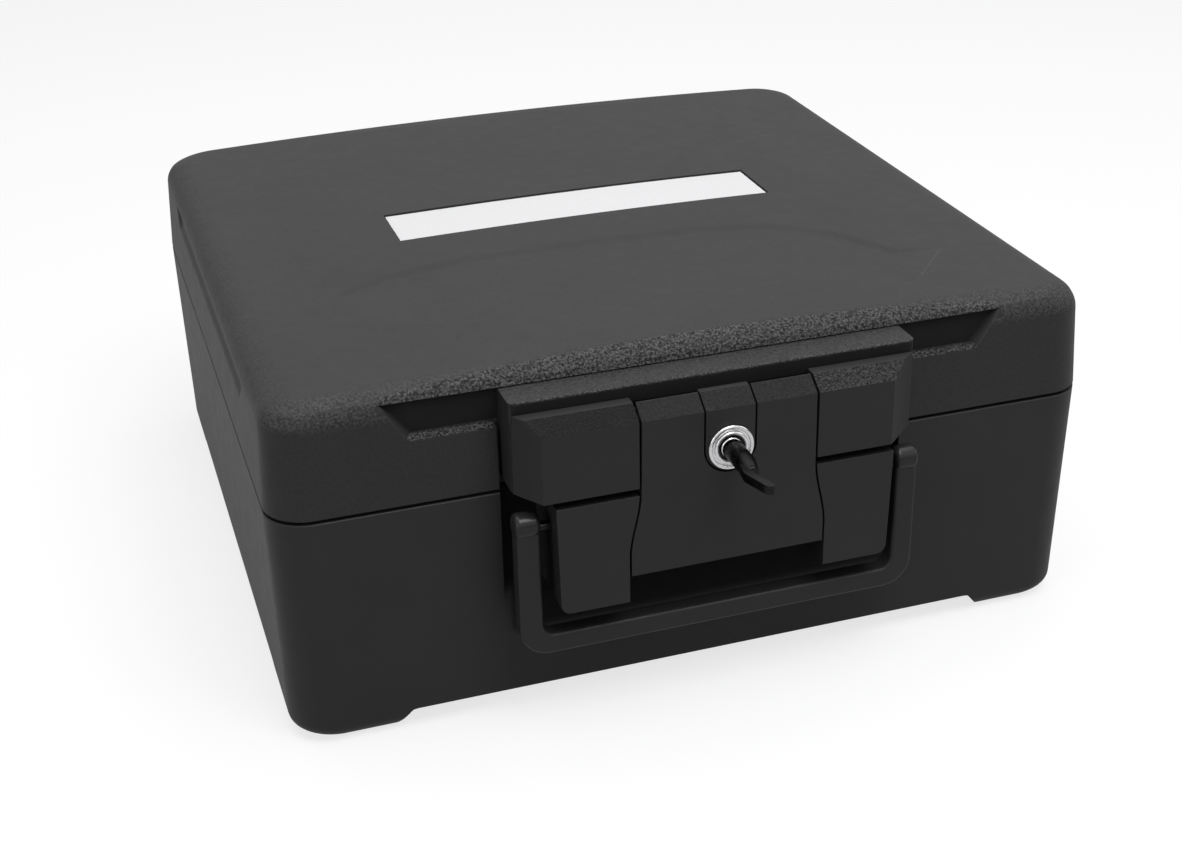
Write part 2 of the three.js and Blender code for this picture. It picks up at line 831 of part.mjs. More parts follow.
function latchHook(side) {
  const pad = flapPadSeat + hookPad;
  const fingerTop = strikerHeight - strikerRadius - seatGap;
  const fingerEnd = strikerY + fingerPast;
  const outline = [[flapPadSeat, hookBottom], [flapPadSeat, hookTop], [pad, hookTop],
    [pad, fingerTop + hookSlope], [pad + hookSlope, fingerTop], [fingerEnd, fingerTop],
    [fingerEnd, fingerTop - fingerDepth], [pad, hookBottom]];
  const middle = side * hookOffset;
  const hook = prismX(outline, middle - hookWidth / 2, middle + hookWidth / 2);
  return hook.subtract(screwBore(...screwPlaces.hook(side)));
}

function lockCatch() {
  const pad = flapPadSeat + catchThickness;
  const reach = latchFace + catchReach;
  const upright = reach - catchThickness;
  const outline = [[flapPadSeat, catchPadBottom], [flapPadSeat, catchArmTop], [upright, catchArmTop],
    [upright, catchTop], [reach, catchTop], [reach, catchArmBottom], [pad, catchArmBottom],
    [pad, catchPadBottom]];
  return prismX(outline, -catchHalfWidth, catchHalfWidth).subtract(screwBore(...screwPlaces.catch()));
}

// Keeper housing: two posts and the plate that joins them, fitted to the case's scooped wall.
function postOutline(side) {
  const inner = flapEdge(postBottom, postTop, seamGap).reverse();
  const cornerX = postOuterBottom - postCorner;
  const outline = [...inner, ...arc(cornerX, postBottom + postCorner, postCorner, -Math.PI / 2, 0),
    [postOuterTop, postTop]];
  return side < 0 ? mirroredPoints(outline) : outline;
}

function strikerRod(gap) {
  return rodX(strikerRadius + gap, -strikerReach - gap, strikerReach + gap, strikerY, strikerHeight);
}

function bailPin(side, gap) {
  const ends = [side * (bailPinRoot - gap), side * (bailPinEnd + gap)];
  return rodX(bailPinRadius + gap, Math.min(...ends), Math.max(...ends), bailPivotY, bailPivotHeight);
}

function keeperHousing() {
  const posts = onBothSides((side) => prismY(postOutline(side), latchFace, housingBack));
  const half = flapHalfBottom + seamGap + housingWall;
  const plate = box(-half, half, keeperFront, housingBack, keeperPlateBottom, postTop);
  const wall = baseForm(-seatGap, baseTop).subtract(basePocket(-seatGap));
  return cutBy(
    posts.add(plate),
    wall,
    strikerRod(seatGap),
    bailPin(-1, seatGap),
    bailPin(1, seatGap),
    screwBore(...screwPlaces.keeper(-1)),
    screwBore(...screwPlaces.keeper(1)),
  );
}

function carryBail() {
  const half = bailHalfWidth;
  const inner = half - bailArm;
  const barTop = bailBottom + bailBar;
  const outerZ = bailBottom + bailOuterCorner;
  const outer = [...arc(half - bailOuterCorner, outerZ, bailOuterCorner, -Math.PI / 2, 0),
    [half, bailPivotHeight], [inner, bailPivotHeight]];
  const inside = arc(inner - bailInnerCorner, barTop + bailInnerCorner, bailInnerCorner, 0, -Math.PI / 2);
  const right = [...outer, ...inside];
  const loop = prismY([...right, ...mirroredPoints(right)], bailFront, bailFront + bailDepth, bailBevel);
  const knuckle = (side) => {
    const near = inner - knuckleProud / 2;
    const far = half + knuckleProud;
    const profile = [[0, near], [knuckleRadius - knuckleEdge, near], [knuckleRadius, near + knuckleEdge],
      [knuckleRadius, far - knuckleEdge], [knuckleRadius - knuckleEdge, far], [0, far]];
    const placed = profile.map(([radius, x]) => [radius, side * x]);
    return turnedX(side < 0 ? placed.reverse() : placed, bailPivotY, bailPivotHeight);
  };
  return cutBy(loop.add(onBothSides(knuckle)), bailPin(-1, seatGap), bailPin(1, seatGap));
}

// Lock
function lockBezel() {
  const seat = latchFace - seatGap;
  const face = seat - bezelBase - bezelStep;
  const base = seat - bezelBase;
  const profile = [[bezelHole, seat], [bezelHole, base], [bezelHole + bezelStep, face],
    [bezelHole + bezelRim, face], [bezelHole + bezelRim + bezelStep, base],
    [bezelRadius - bezelRim - bezelStep, base], [bezelRadius - bezelRim, face],
    [bezelRadius - bezelStep, face], [bezelRadius, base], [bezelRadius, seat], [bezelHole, seat]];
  return turnedY(profile, 0, lockHeight);
}

function lockBody() {
  const end = latchFace + lockBodyLength;
  const tube = lockRod(lockBodyRadius, latchFace, end);
  return tube.subtract(lockRod(plugRadius + seatGap, latchFace - cutOverrun, end + cutOverrun));
}

function lockNut() {
  const start = insertBack + seatGap;
  const radius = nutAcrossFlats / Math.sqrt(3);
  const outline = arc(0, lockHeight, radius, 0, 2 * Math.PI, 6).slice(1);
  const nut = prismY(outline, start, start + nutThickness);
  const bore = lockRod(lockBodyRadius + seatGap, start - cutOverrun, start + nutThickness + cutOverrun);
  return nut.subtract(bore);
}

function lockPlug() {
  const plug = lockRod(plugRadius, plugFront, plugBack);
  const slotEnd = latchFace + keyInside + keySlotGap;
  const halfSlot = keyThickness / 2 + keySlotGap;
  const halfHeight = keyBladeHeight / 2 + keySlotGap;
  const slot = box(-halfSlot, halfSlot, plugFront - cutOverrun, slotEnd,
    lockHeight - halfHeight, lockHeight + halfHeight);
  return cutBy(plug, slot, screwBore(...screwPlaces.cam()));
}

function lockCam() {
  const start = plugBack + seatGap;
  const root = Math.asin(camHalfWidth / camHub);
  const outline = [...arc(0, lockHeight, camHub, root, 2 * Math.PI - root, 2 * curveSteps),
    [camReach, lockHeight - camHalfWidth], [camReach, lockHeight + camHalfWidth]];
  return prismY(outline, start, start + camThickness).subtract(screwBore(...screwPlaces.cam()));
}

// The key stands on edge in the plug: a notched blade, a neck and a bow with rounded corners.
function houseKey() {
  const inner = latchFace + keyInside;
  const half = keyBladeHeight / 2;
  const bowHalf = keyBowHeight / 2;
  const corner = keyBowCorner;
  const notches = [];
  for (let i = 0; i < keyNotches; i++) {
    const middle = inner - keyNotchPitch * (i + 1);
    const depth = i % 2 ? keyNotchDepth / 2 : keyNotchDepth;
    notches.push([middle + keyNotchPitch / 2, lockHeight + half]);
    notches.push([middle, lockHeight + half - depth]);
  }
  const nose = [[inner - half / 2, lockHeight - half], [inner, lockHeight - half / 2],
    [inner, lockHeight + half / 2]];
  const outline = [
    ...nose,
    ...notches,
    [inner - keyNotchPitch * (keyNotches + 1 / 2), lockHeight + half],
    [keyBowStart, lockHeight + half],
    ...arc(keyBowStart - corner, lockHeight + bowHalf - corner, corner, 0, Math.PI / 2),
    ...arc(keyTip + corner, lockHeight + bowHalf - corner, corner, Math.PI / 2, Math.PI),
    ...arc(keyTip + corner, lockHeight - bowHalf + corner, corner, Math.PI, (Math.PI * 3) / 2),
    ...arc(keyBowStart - corner, lockHeight - bowHalf + corner, corner, -Math.PI / 2, 0),
    [keyBowStart, lockHeight - half],
  ];
  const key = prismX(outline, -keyThickness / 2, keyThickness / 2);
  const hole = rodX(keyHoleRadius, -keyThickness, keyThickness, keyTip + bowHalf, lockHeight);
  return key.subtract(hole);
}

// Hinges: a leaf on the base (level -1) with two knuckles, and one on the lid (level 1) with one between.
function hingeLeaf(side, level) {
  const middle = side * hingeOffset;
  const near = partingHeight + level * leafStart;
  const far = partingHeight + level * leafEnd;
  const lean = level > 0 ? lidLean : baseLean;
  const seatAt = (z) => back - lean(z) + seatGap;
  const profile = [[seatAt(near), near], [seatAt(near) + leafThickness, near],
    [seatAt(far) + leafThickness, far], [seatAt(far), far]];
  const knuckle = (x0, x1) => {
    const inside = hingeY - hingeKnuckle;
    const outside = inside + leafThickness - seatGap;
    const heights = [partingHeight, near + level * seamGap];
    const web = box(x0, x1, inside, outside, Math.min(...heights), Math.max(...heights));
    return rodX(hingeKnuckle, x0, x1, hingeY, partingHeight).add(web);
  };
  const end = middleKnuckle / 2 + knuckleGap;
  const knuckles = level > 0
    ? [knuckle(middle - middleKnuckle / 2, middle + middleKnuckle / 2)]
    : [knuckle(middle - hingeWidth / 2, middle - end), knuckle(middle + end, middle + hingeWidth / 2)];
  const bores = [-1, 1].map((way) => screwBore(...hingeScrewPlace(middle + way * hingeScrewOffset, level)));
  return cutBy(
    union(prismX(profile, middle - hingeWidth / 2, middle + hingeWidth / 2), ...knuckles),
    rodX(hingePinRadius + seatGap, middle - hingeWidth, middle + hingeWidth, hingeY, partingHeight),
    ...bores,
  );
}

function hingePin(side) {
  const middle = side * hingeOffset;
  return rodX(hingePinRadius, middle - hingeWidth / 2, middle + hingeWidth / 2, hingeY, partingHeight);
}

// The assembly. The group is moved back so that its bounds are centred with the key in place.
const group = new THREE.Group();
group.name = 'fire_resistant_chest';

function place(name, solid, finish) {
  group.add(toMesh(name, solid, finish));
}

place('base_shell', baseShell(), moulded);
place('base_insulation', baseInsulation(), filling);
place('base_liner', baseLiner(), lining);
place('rim_gasket', rimGasket(), rubber);
place('keeper_housing', keeperHousing(), satin);
place('striker_rod', strikerRod(0), steel);
place('lid_shell', lidShell(), moulded);
place('lid_insulation', lidInsulation(), filling);
place('lid_liner', lidLiner(), lining);
place('label_plate', labelPlate(), paper);
place('latch_housing', latchHousing(), satin);
place('latch_pin', rodX(pivotRadius, -pivotReach, pivotReach, pivotY, pivotHeight), steel);
place('lock_carrier', lockCarrier(), satin);
place('lock_bezel', lockBezel(), chrome);
place('lock_body', lockBody(), steel);
place('lock_nut', lockNut(), steel);
place('latch_flap', latchFlap(), satin);
place('lock_catch', lockCatch(), steel);
place('catch_screw', screw(...screwPlaces.catch()), steel);
place('lock_plug', lockPlug(), darkSteel);
place('lock_cam', lockCam(), steel);
place('cam_screw', screw(...screwPlaces.cam()), steel);
place('key', houseKey(), darkSteel);
place('carry_bail', carryBail(), satin);

for (const [side, word] of [[-1, 'left'], [1, 'right']]) {
  place(`keeper_screw_${word}`, screw(...screwPlaces.keeper(side)), steel);
  place(`housing_screw_${word}`, screw(...screwPlaces.housing(side)), steel);
  place(`latch_hook_${word}`, latchHook(side), steel);
  place(`hook_screw_${word}`, screw(...screwPlaces.hook(side)), steel);
  place(`handle_pin_${word}`, bailPin(side, 0), steel);
  place(`hinge_pin_${word}`, hingePin(side), steel);
  for (const [level, body] of [[-1, 'base'], [1, 'lid']]) {
    place(`hinge_leaf_${body}_${word}`, hingeLeaf(side, level), darkSteel);
    for (const [way, end] of [[-1, 'a'], [1, 'b']]) {
      const spot = hingeScrewPlace(side * hingeOffset + way * hingeScrewOffset, level);
      place(`hinge_screw_${body}_${word}_${end}`, screw(...spot), steel);
    }
  }
}

group.position.y = middleShift;
export default group;
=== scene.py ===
import math

import bmesh
import bpy
import numpy as np
from mathutils import Matrix, Vector


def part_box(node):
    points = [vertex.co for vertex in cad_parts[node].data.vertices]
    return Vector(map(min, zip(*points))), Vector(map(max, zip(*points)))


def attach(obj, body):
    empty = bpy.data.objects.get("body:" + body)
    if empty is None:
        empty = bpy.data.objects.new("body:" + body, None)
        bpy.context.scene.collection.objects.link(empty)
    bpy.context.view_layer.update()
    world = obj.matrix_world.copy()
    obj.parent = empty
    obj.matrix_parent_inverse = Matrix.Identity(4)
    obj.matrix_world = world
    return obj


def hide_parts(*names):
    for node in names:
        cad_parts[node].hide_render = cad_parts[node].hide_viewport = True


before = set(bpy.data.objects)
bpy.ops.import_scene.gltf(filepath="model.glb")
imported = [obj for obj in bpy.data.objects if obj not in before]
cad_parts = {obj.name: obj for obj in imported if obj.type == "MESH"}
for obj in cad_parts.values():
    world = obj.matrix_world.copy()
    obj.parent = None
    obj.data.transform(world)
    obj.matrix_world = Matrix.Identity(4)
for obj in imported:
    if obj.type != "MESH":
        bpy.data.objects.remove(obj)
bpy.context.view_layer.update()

# Shapes are drawn in millimetres about the middle of the case, with the floor at z = 0.
MM = 0.001
shell_low, shell_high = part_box("base_shell")
ROW_SHIFT = (shell_low.y + shell_high.y) / 2

# Case
CASE_WIDTH = 425
CASE_DEPTH = 398
PARTING = 125
PARTING_GAP = 1.8
LID_EDGE = 182.5
CROWN_RISE = 5
CORNER_RADIUS = 21
TOP_CORNER_RADIUS = 17
LID_SIDE_ROUND = 17
LID_FRONT_ROUND = 13
LID_TOP_ROUND = 16
LID_DRAFT = 2
BASE_DRAFT = 1.5
BOTTOM_ROUND = 10.7
SHELL_WALL = 3
RIM_EASE = 0.35
FRONT = -CASE_DEPTH / 2
BACK = CASE_DEPTH / 2
LID_BOTTOM = PARTING + PARTING_GAP / 2
BASE_TOP = PARTING - PARTING_GAP / 2
LID_WALL_TOP = LID_EDGE - LID_TOP_ROUND

# Feet
FOOT_HEIGHT = 11
FOOT_WIDTH = 51
FOOT_LENGTH = 59
FOOT_SLOPE = 9
FOOT_CROSS_BLEND = 2
FOOT_EDGE_BLEND = 1.6

# Recesses in the lid
FRONT_RECESS_DEPTH = 7
POCKET_FLOOR = FRONT + FRONT_RECESS_DEPTH
FRONT_RECESS_LOW = 157.5
FRONT_RECESS_HIGH = 176.7
FRONT_RECESS_HALF_LOW = 145.5
FRONT_RECESS_HALF_HIGH = 158.7
SIDE_RECESS_DEPTH = 3.6
SIDE_RECESS_LOW = 154
SIDE_RECESS_HIGH = 172
SIDE_RECESS_HALF_LOW = 124
SIDE_RECESS_HALF_HIGH = 136
FRONT_BEVEL = 2.3
SIDE_BEVEL = 6
LEDGE_EASE = 0.35
RECESS_FLOOR_BLEND = 0.8
RECESS_WALL_BLEND = 0.9
SIDE_RECESS_TOP_SHARE = 0.4

# Lid's top. The panel's front and rear edges run through (x, y) points.
LABEL_WIDTH = 214
LABEL_DEPTH = 41
LABEL_THICKNESS = 0.4
LABEL_BED = 1.6
LABEL_BED_GAP = 0.3
LABEL_EDGE_X = LABEL_WIDTH / 2 + LABEL_BED_GAP
LABEL_EDGE_Y = LABEL_DEPTH / 2 + LABEL_BED_GAP
LABEL_MARGIN = 0.3
LABEL_EASE = 0.15
LABEL_COLUMNS = 61
PANEL_RISE = 1.3
PANEL_SLOPE = 4
PANEL_FADE_END = 168
PANEL_FADE_WIDTH = 36
PANEL_FRONT = [(-170, -95), (-157, -81), (-126, -67), (-90, -61), (-51, -59), (-7, -61), (49, -62),
               (87, -70), (115, -92), (135, -125)]
PANEL_REAR = [(-160, 125), (-148, 142), (-129, 164), (-95, 174), (3, 175), (98, 173), (128, 160),
              (146, 124), (155, 100)]

# Grain on the lid, from 0 to 1: a raised band above the recess, the round edge and the sides
# The grain's speckle is partly a painted sheen, which lightens the band, the round edge and the front
# corners
BAND_REAR_MIDDLE = FRONT + 13
BAND_REAR_END = FRONT + 6.5
BAND_END_SLANT = 0.6
BAND_RISE = 0.3
BAND_FADE = 1.2
SIDE_GRAIN = 0.05
ROUND_GRAIN = 0.2
CORNER_GRAIN = 0.4
CORNER_GRAIN_DEPTH = 22
CORNER_GRAIN_FADE = 10
TOP_GRAIN_DROP = 0.3
TOP_GRAIN_FADE = 3
ROUND_GRAIN_RISE = 1
ROUND_GRAIN_FADE = 5
RECESS_GRAIN_DEPTH = 0.15
LEDGE_GRAIN_MARGIN = 0.2
EDGE_MARGIN = 0.1

# Hairlines on the lid's top, each from one (x, y) place to another
SCRATCHES = [((165.6, -121), (126, -166)), ((-147, 82), (-112, 71)), ((113, 66.5), (164, 86))]
SCRATCH_HALF = 0.35
SCRATCH_CORE_SHARE = 0.4
SCRATCH_FULL_SHARE = 0.35
SCRATCH_DEPTH_BAND = 2

# Scoop behind the latch
POCKET_HALF = 104
POCKET_TURN = 108
POCKET_FOOT = 66
LID_POCKET_TOP = 161.8
SCOOP_BLEND = 0.8
SCOOP_OUTSIDE = 1

# Painted shade in the recess, in the scoop and on the case just below it, from 0 to 1
RECESS_SHADE = 0.75
RECESS_SHADE_START = 2.5
RECESS_SHADE_FADE = 2
FLOOR_MARGIN = 1
SHADE_HALF = 103
SHADE_LOW = 43
SHADE_FADE = 5
SHADE_OVERLAP = 8
SCOOP_EDGE_OUT = 0.2
SCOOP_EDGE_FADE = 0.4
SCOOP_SHADE_START = 1.2
SCOOP_SHADE_FADE = 3

# Latch housing and lock tongue
SEAT_GAP = 0.3
SEAM_GAP = 1
CUT = 5
LATCH_PROUD = 30
LATCH_FACE = FRONT - LATCH_PROUD
HOUSING_HALF = 102
HOUSING_BACK = POCKET_FLOOR - SEAT_GAP
NOSE_DEPTH = 16
HOUSING_NOSE = LATCH_FACE + NOSE_DEPTH
HOUSING_TOP = FRONT_RECESS_HIGH - SEAT_GAP
HOUSING_BOTTOM = 130.6
HOUSING_WALL = 3.5
PLATE_THICKNESS = 5
PLATE_FRONT = HOUSING_BACK - PLATE_THICKNESS
LIP_ROUND = 1.3
CORNER_ROUND = 3
LIP_HEIGHT = 8.4
BLOCK_TOP = 171
BLOCK_INNER = 45
BLOCK_FACE_ENDS = {-1: 91.5, 1: 84}
BLOCK_ENDS = {-1: 101.5, 1: 101}
BLOCK_CHAMFER_DEPTH = 15.5
BLOCK_GROOVE = 1.2
TOP_CHAMFER_DROP = 6.1
TOP_CHAMFER_RUN = 8.7
GROOVE_WIDTH = 4
GROOVE_DEPTH = 5
GROOVE_FLOOR = BLOCK_TOP - GROOVE_DEPTH
HOLLOW_TOP = 155
INSERT_HALF = 12.3
INSERT_BACK = HOUSING_NOSE
INSERT_COLUMN_BOTTOM = 157.5
INSERT_ARC_STEPS = 32
HOUSING_EASE = 0.6
INSERT_EASE = 0.4

# Grain, painted shade and polish on the latch, from 0 to 1, at places across it and by the way a face looks
CHAMFER_STOPS = [-100, -44, -43, 43, 44, 100]
CHAMFER_GRAINS = [0.6, 0.6, 0.4, 0.45, 1.0, 1.0]
CHAMFER_SHADES = [0.85, 0.85, 0.7, 0.7, 0.4, 0.4]
CHAMFER_UP_MIN = 0.6
CHAMFER_UP_MAX = 0.9
CHAMFER_FORWARD_MAX = -0.45
CHAMFER_MARGIN = 0.2
CHAMFER_LOW = BLOCK_TOP - 8
LIP_START = 1
LIP_NOSE_UP_MIN = 0.1
LIP_NOSE_UP_MAX = 0.97
LIP_NOSE_FORWARD_MAX = -0.2
LIP_UP_MIN = 0.2
LIP_GRAIN = 0.35
LIP_POLISH = 0.7
GROOVE_SHADE = 0.8
GROOVE_FORWARD_MAX = -0.8
GROOVE_MARGIN = 1

# Flap
FLAP_BOTTOM = 84
FLAP_HALF_TOP = 43.6
FLAP_HALF_MIDDLE = 44
FLAP_HALF_BOTTOM = 49.2
FLARE_TOP = 128
FLARE_BOTTOM = 94
FLAP_PLATE = 4
FLAP_DEPTH = 14
FLAP_WALL = 3
FLAP_TOP_FLAT = 0.6
NOTCH_LIP = 1.2
NOTCH_RELIEF = 2.5
PIVOT_DEPTH = 12
PIVOT_Y = LATCH_FACE + PIVOT_DEPTH
PIVOT_DROP = 10
PIVOT_HEIGHT = BLOCK_TOP - PIVOT_DROP
PIVOT_RADIUS = 2
PIVOT_REACH = 58
HUB_RADIUS = 5
FLAP_EDGE_ROWS = 33
FLAP_EASE = 0.5

# Keeper
POST_TOP = 126.8
POST_BOTTOM = 69.8
POST_OUTER_TOP = 85.6
POST_OUTER_BOTTOM = 84.4
POST_CORNER = 5
KEEPER_THICKNESS = 4
KEEPER_FRONT = HOUSING_BACK - KEEPER_THICKNESS
KEEPER_PLATE_BOTTOM = 92
KEEPER_WALL_ROWS = 49
KEEPER_EASE = 0.6
POST_SHADE_DEPTH = 4
POST_SHADE_MARGIN = 1
POST_TOP_UP_MIN = 0.9

# Bail
BAIL_HALF = 103
BAIL_BOTTOM = 44.5
BAIL_ARM = 11.5
BAIL_BAR = 10.6
BAIL_OUTER_CORNER = 15
BAIL_INNER_CORNER = 6
BAIL_PROUD = 23
BAIL_FRONT = FRONT - BAIL_PROUD
BAIL_DEPTH = 10
BAIL_BEVEL = 1.8
BAIL_BEVEL_STEPS = 5
BAIL_OUTER_STEPS = 24
BAIL_INNER_STEPS = 16
BAIL_PIVOT_Y = BAIL_FRONT + BAIL_DEPTH / 2
BAIL_PIVOT_HEIGHT = 113
KNUCKLE_RADIUS = 6.3
KNUCKLE_PROUD = 0.5
KNUCKLE_EASE = 2.6
KNUCKLE_RISE = 2.5
KNUCKLE_HEIGHT = BAIL_PIVOT_HEIGHT + KNUCKLE_RISE
KNUCKLE_STEPS = 6
KNUCKLE_POLISH_START = 1
KNUCKLE_POLISH_FADE = 2
BAIL_PIN_RADIUS = 2.5
BAIL_PIN_ROOT = 78
BAIL_PIN_END = 99

# Lock and key. The head's points are (x, how far out from the latch's face).
LOCK_HEIGHT = 144.8
BEZEL_RADIUS = 11.5
BEZEL_HOLE = 6.6
BEZEL_BASE = 0.7
BEZEL_RISE = 0.5
BEZEL_GROOVE = 0.9
BEZEL_RIM = 1.05
LOCK_BODY_RADIUS = 9.3
PLUG_RADIUS = 5.3
PLUG_PROUD = 2.2
PLUG_LENGTH = 23
PLUG_FRONT = LATCH_FACE - PLUG_PROUD
PLUG_BACK = PLUG_FRONT + PLUG_LENGTH
PLUG_CHAMFER = 0.5
PLUG_EASE = 0.12
KEY_THICKNESS = 2.2
KEY_BLADE_HEIGHT = 6.6
KEY_INSIDE = 14
KEY_BARREL_RADIUS = 5
KEY_BARREL_TAPER = LATCH_FACE - 19
KEY_BARREL_END = LATCH_FACE - 28
KEY_NECK_RADIUS = 2.7
KEY_HEAD_HEIGHT = 4.4
KEY_HEAD_POINTS = [(3, 21), (-4.4, 21), (-5.6, 30.5), (-1.2, 43.6), (0.2, 45.6), (2.2, 46), (3.2, 44.2),
                   (-1.4, 31)]
KEY_BLADE_OVERLAP = 1
KEY_EASE = 0.3
KEY_NOTCHES = 4
KEY_NOTCH_PITCH = 2.6
KEY_NOTCH_DEPTH = 1.4

# Hinges and screws
HINGE_OFFSET = 120
HINGE_WIDTH = 50
HINGE_KNUCKLE = 4.5
HINGE_PIN_RADIUS = 2
HINGE_Y = BACK + HINGE_KNUCKLE + SEAT_GAP
LEAF_THICKNESS = 2.5
LEAF_START = 5.5
LEAF_END = 30
MIDDLE_KNUCKLE = 16
KNUCKLE_GAP = 0.5
SCREW_RADIUS = 1.6
SCREW_HEAD_RADIUS = 3.2
SCREW_HEAD_HEIGHT = 1.8
SCREW_HEAD_EASE = 0.9
SCREW_HEAD_ROWS = 7
CROSS_DEPTH = 0.9
CROSS_REACH = 1.7
CROSS_HALF_WIDTH = 0.35
PIN_CHAMFER = 0.4
LEAF_EASE = 0.3
SMALL_SIDES = 48
TURNED_SIDES = 64
FINE_SIDES = 96
RING_SIDES = 128
ARC_STEPS = 12

# Noise in the finishes: the size of its lumps in millimetres, and how fine and how rough they are
CLOUD = {"size": 45, "detail": 3}
FINE_GRAIN = {"size": 0.8, "detail": 2, "rough": 0.6}
RIPPLE = {"size": 1.1, "detail": 3, "rough": 0.7}
WEAR = {"size": 9, "detail": 4, "rough": 0.6}
SCRATCH_BREAKS = {"size": 3, "detail": 3, "rough": 0.6}
METAL_CLOUD = {"size": 4, "detail": 4, "rough": 0.6}
METAL_MARKS = {"size": 0.5, "detail": 3, "rough": 0.7}
METAL_WAVES = {"size": 1.8, "detail": 1}
PORES = {"detail": 4, "rough": 0.65}
PEBBLE_SIZE = 1.3
PEBBLE_SMOOTHNESS = 0.5

# How the finishes use their noise: the stretch of its values that shows, shares of a tone, and changes
# of roughness
NOISE_LOW = 0.3
NOISE_HIGH = 0.7
CLOUD_LOW = 0.35
CLOUD_HIGH = 0.65
SPECKLE_LOW = 0.46
SPECKLE_HIGH = 0.7
BREAK_LOW = 0.38
BREAK_HIGH = 0.52
RIPPLE_SHARE = 1.6
PEBBLE_SHARE = 0.6
LUMP_TONE_SHARE = 0.5
BLUE_SHARE = 1.01
CLOUD_DARK_SHARE = 0.96
CLOUD_LIGHT_SHARE = 1.04
# Painted shade in the coarse grain's hollows and painted sheen on its lumps, as shares of the tone
GRAIN_HOLLOW_SHADE_SHARE = 0.3
GRAIN_LUMP_SHEEN_SHARE = 4.4
SCRATCH_LIGHT_SHARE = 2.6
# Painted shade: the share of the tone where the shade attribute is 1
SHADE_TONE_SHARE = 0.1
METAL_DARK_SHARE = 0.86
WORN_CHANGE = 0.03
ROUGH_CHANGES = {"grain": 0.06, "shade": 0.4, "polish": -0.22}
CHALK_SMOOTHER = 0.05
CHALK_ROUGHER = 0.04

# Camera, in metres in the frame's own axes
IMAGE_WIDTH = 1182
IMAGE_HEIGHT = 844
CENTRE_PIXEL_X = 609.374
CENTRE_PIXEL_Y = 415.15
FOCAL_PIXELS = 1810.029
SENSOR_WIDTH = 36
CAMERA_PLACE = Vector((-0.28784, -0.88759, 0.53900))
CAMERA_RIGHT = Vector((0.94719, -0.32037, -0.01422))
CAMERA_UP = Vector((0.15633, 0.42256, 0.89275))

# Stage, in metres. Each lamp has a place, a width, a height and a power in watts.
LAMP_TARGET = Vector((0, 0.03, 0.1))
LAMPS = {"overhead": ((0.0, 0.1, 1.9), 2.0, 1.5, 18), "front": ((0.2, -0.85, 1.5), 0.8, 0.7, 10),
         "left": ((-1.7, -1.0, 0.6), 0.9, 0.8, 3), "right": ((2.0, -0.6, 1.1), 1.0, 1.0, 3)}
WORLD_TONE = 0.25
FLOOR_REACH = 6
FLOOR_TONE = 0.3
FLOOR_ROUGHNESS = 0.9
FLOOR_GLOW = 0.75
FLOOR_TONE_TO_LIGHT = 0.25
FLOOR_MIRRORED_SHARE = 0.5
HORIZON_LOW = 0.18
HORIZON_HIGH = 0.5
HORIZON_TONE = 0.15

# Meshes of the shells. Stops are (place, spacing after it), closest together where a recess or the
# scoop ends, with a pair of columns a hair apart at each sharp step. The middle stays in place out to
# the kept reach, and the ends stretch to the corners.
HAIR = 0.1
WHOLE_MARGIN = 1e-6
KEEP_X = 162
KEEP_Y = 142
CORNER_STEPS = 8
LID_COLUMN_STOPS = [(0, 2), (POCKET_HALF - HAIR, 2 * HAIR), (POCKET_HALF + HAIR, 1.6),
                    (LABEL_EDGE_X - HAIR, 2 * HAIR), (LABEL_EDGE_X + HAIR, 2), (140, 0.45), (161, 1.6)]
LID_COLUMN_END = 176.5
LID_ROW_STOPS = [(0, 2), (LABEL_EDGE_Y - HAIR, 2 * HAIR), (LABEL_EDGE_Y + HAIR, 2.4), (118, 0.8), (138, 2)]
LID_ROW_END = 163
LID_FRONT_LEVELS = [LID_BOTTOM + RIM_EASE, 132, 140, 148, 154, 156.4]
LID_SIDE_LEVELS = [LID_BOTTOM + RIM_EASE, 131, 138, 145, 150, 152.6]
FRONT_LEDGE_START = 157.2
FRONT_LEDGE_STEP = 0.18
SIDE_LEDGE_START = 153.4
SIDE_LEDGE_STEP = 0.6
LEDGE_LEVELS = 13
FRONT_FLOOR_START = 160.2
SIDE_FLOOR_START = 161.4
FLOOR_LEVELS = 23
BROW_STEPS = (LEDGE_EASE, 1, 1.8)
LID_ROUND_STEPS = 16
LID_INSIDE_LEVELS = (172, 150, LID_BOTTOM + RIM_EASE, LID_BOTTOM)
BASE_COLUMN_STOPS = [(0, 2.4), (POCKET_HALF - HAIR, 2 * HAIR), (POCKET_HALF + HAIR, 2.4), (152.5, 1),
                     (161.5, 2.4)]
BASE_COLUMN_END = 179.3
BASE_ROW_STOPS = [(0, 3), (131, 1), (140, 3)]
BASE_ROW_END = 165.8
BASE_LEVELS = [BASE_TOP - RIM_EASE, 122, 116, 110, 105, 100, 95, 90, 86, 82, 79, 76.5, 74.3, 72.5, 71,
               69.8, 68.8, 68, 67.4, 66.9, 66.5, 66.2, 65.8, 64, 56, 49, 46.5, 44, 41, 34, 26, 18, 13,
               FOOT_HEIGHT]
BASE_ROUND_STEPS = 12
BASE_INSIDE_LEVELS = (FOOT_HEIGHT + SHELL_WALL, 66, 80, 108, BASE_TOP - RIM_EASE)

# Mesh clean-up: places closer than the gap are one, and faces flatter than the angle are one
MERGE_GAP = 0.01
FLAT_ANGLE = 0.4
EASE_ANGLE = 32
SMOOTH_ANGLE = 40
SHELL_SMOOTH_ANGLE = 35
BEZEL_SMOOTH_ANGLE = 50


# Small helpers
def smooth_step(value):
    value = np.clip(value, 0, 1)
    return value * value * (3 - 2 * value)


def smooth_max(a, b, blend):
    near = np.maximum(blend - np.abs(a - b), 0) / blend
    return np.maximum(a, b) + near * near * blend / 4


def smooth_min(a, b, blend):
    return -smooth_max(-a, -b, blend)


